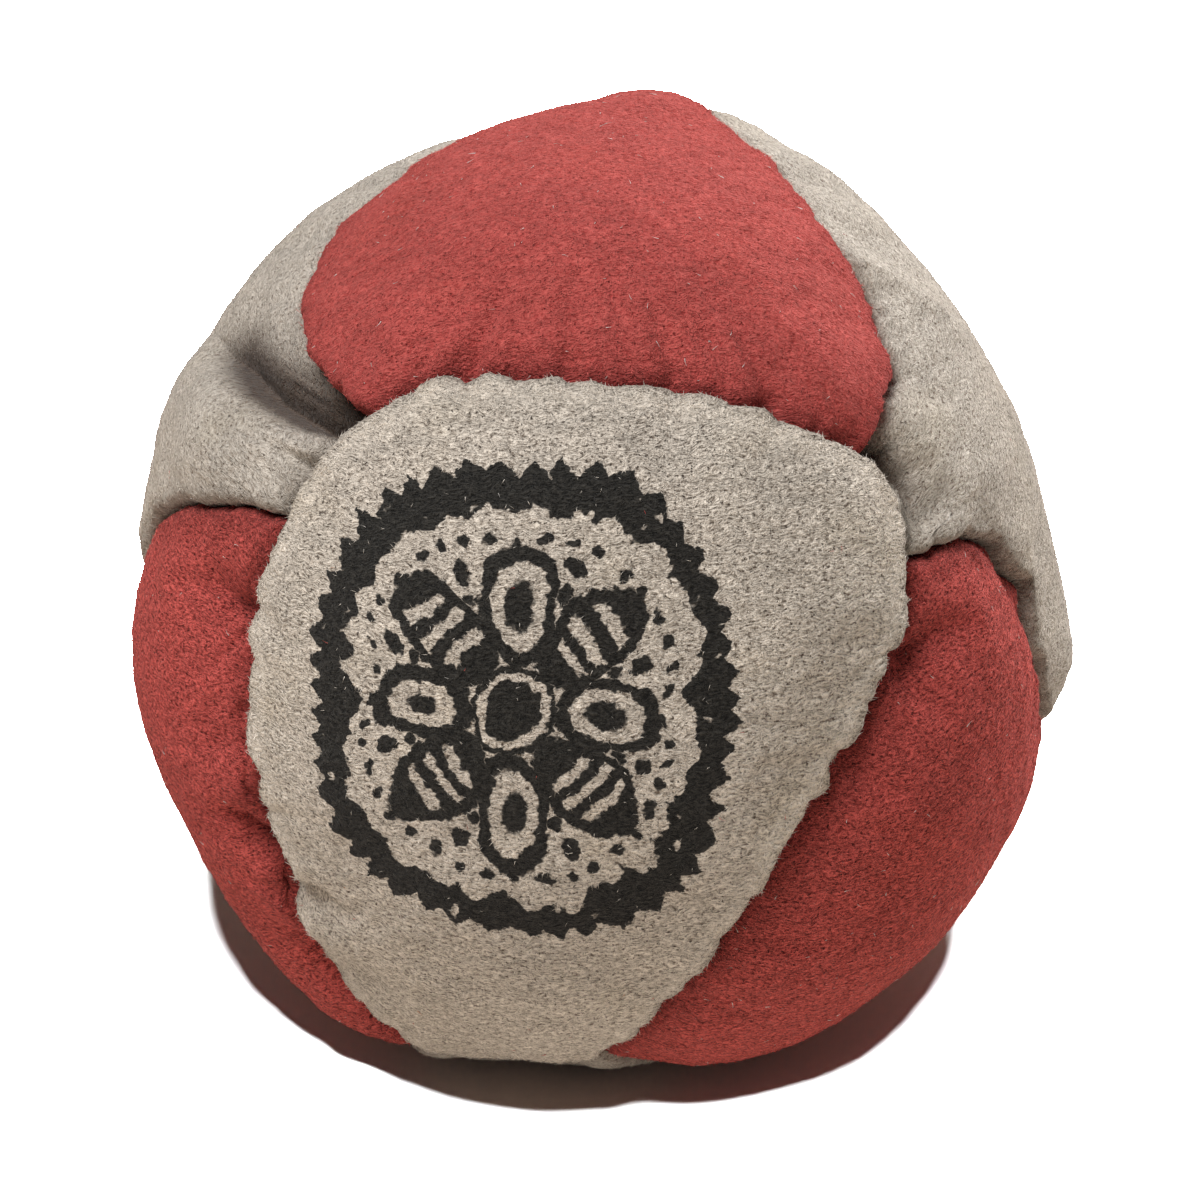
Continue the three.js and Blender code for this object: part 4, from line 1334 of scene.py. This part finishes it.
# The floor. A plain sweep under the ball. Its own lamp lights it white from above the front, so
# that it keeps the ball's shadow and throws only a little light back up.
FLOOR_HALF = 3.0
FLOOR_SEEN = (0.66, 0.52, 0.46)
FLOOR_BOUNCE = (0.0175, 0.0122, 0.0094)
FLOOR_LIGHT = (1, 1.269, 1.435)  # the reverse of the floor's own tint, so that it is lit white
SWEEP_POWER = 210.0
SWEEP_WAY = (4, 64)
SWEEP_SOFTNESS = 20  # degrees across, for a shadow with a soft edge
floor_material, tree, shader = new_material("white_sweep", Roughness=1.0, Specular_IOR_Level=0.0)
floor_seen = add_node(tree, "ShaderNodeLightPath", "Is Camera Ray")
floor_tint = mix(tree, floor_seen, FLOOR_BOUNCE, FLOOR_SEEN)
put(tree, floor_tint, shader.inputs["Base Color"])
floor_points = np.array([[-1, -1, 0], [1, -1, 0], [1, 1, 0], [-1, 1, 0]]) * FLOOR_HALF
floor_mesh = solid_mesh("floor", floor_points, np.array([[0, 1, 2, 3]]), np.zeros((0, 3), int))
floor = add_object("floor", floor_mesh)
floor_mesh.materials.append(floor_material)


def facing(angles):
    """The turn of a lamp or camera that looks at the middle from a direction."""
    return Vector(aim(angles)).to_track_quat("Z", "Y").to_euler()


def lamp(name, kind, angles, power, lit, **settings):
    """A lamp that shines from a direction, on what a collection includes or doesn't exclude."""
    light = bpy.data.lights.new(name, kind)
    for key, value in dict(settings, energy=power).items():
        setattr(light, key, value)
    stand = add_object(name, light)
    stand.rotation_euler = facing(angles)
    stand.light_linking.receiver_collection = lit
    return stand


floor_alone = bpy.data.collections.new("floor_alone")
floor_alone.objects.link(floor)
lamp(
    "sweep_lamp", "SUN", SWEEP_WAY, SWEEP_POWER, floor_alone,
    color=FLOOR_LIGHT, angle=np.radians(SWEEP_SOFTNESS),
)


# The lamps. A large soft box stands high on the left, and another low behind the right, which
# brightens that edge. The white of the room does the rest. Distances and sizes are in metres.
ROOM = 0.134
BOX_SIZE = 0.3
BOX_DISTANCE = 0.6
KEY_WAY, KEY_POWER = (-56, 68), 4.02
BACK_WAY, BACK_POWER = (138, 15), 4.9
world = bpy.data.worlds.new("room")
world.use_nodes = True
tree = world.node_tree
background = tree.nodes["Background"]
seen = add_node(tree, "ShaderNodeLightPath", "Is Camera Ray")
put(tree, seen * (1 - ROOM) + ROOM, background.inputs["Strength"])
background.inputs["Color"].default_value = (1, 1, 1, 1)
bpy.context.scene.world = world
all_but_floor = bpy.data.collections.new("all_but_floor")
all_but_floor.objects.link(floor)
all_but_floor.collection_objects[0].light_linking.link_state = "EXCLUDE"
for name, angles, power in (("key_box", KEY_WAY, KEY_POWER), ("back_box", BACK_WAY, BACK_POWER)):
    box = lamp(name, "AREA", angles, power, all_but_floor, size=BOX_SIZE)
    box.location = Vector(aim(angles)) * BOX_DISTANCE + Vector((0, 0, CENTRE_HEIGHT * MM))


# The camera. It looks down on the front of the ball from a third of the way up, from far off.
VIEW_LIFT = 32.0
VIEW_DISTANCE = 400.0
FOCAL_LENGTH = 226.1
SHIFT_LEFT = 0.318  # of the eye, in millimetres
SHIFT_DOWN = 0.425
camera = add_object("camera", bpy.data.cameras.new("camera"))
camera.data.lens = FOCAL_LENGTH
camera.data.clip_start = 0.01
back = aim((0, VIEW_LIFT))
upward = np.array([0, np.sin(np.radians(VIEW_LIFT)), np.cos(np.radians(VIEW_LIFT))])
centre = np.array([0, 0, CENTRE_HEIGHT])
eye = centre + back * VIEW_DISTANCE - upward * SHIFT_DOWN - np.array([SHIFT_LEFT, 0, 0])
camera.location = eye * MM
camera.rotation_euler = facing((0, VIEW_LIFT))
bpy.context.scene.camera = camera
bpy.context.scene.view_settings.view_transform = "Standard"
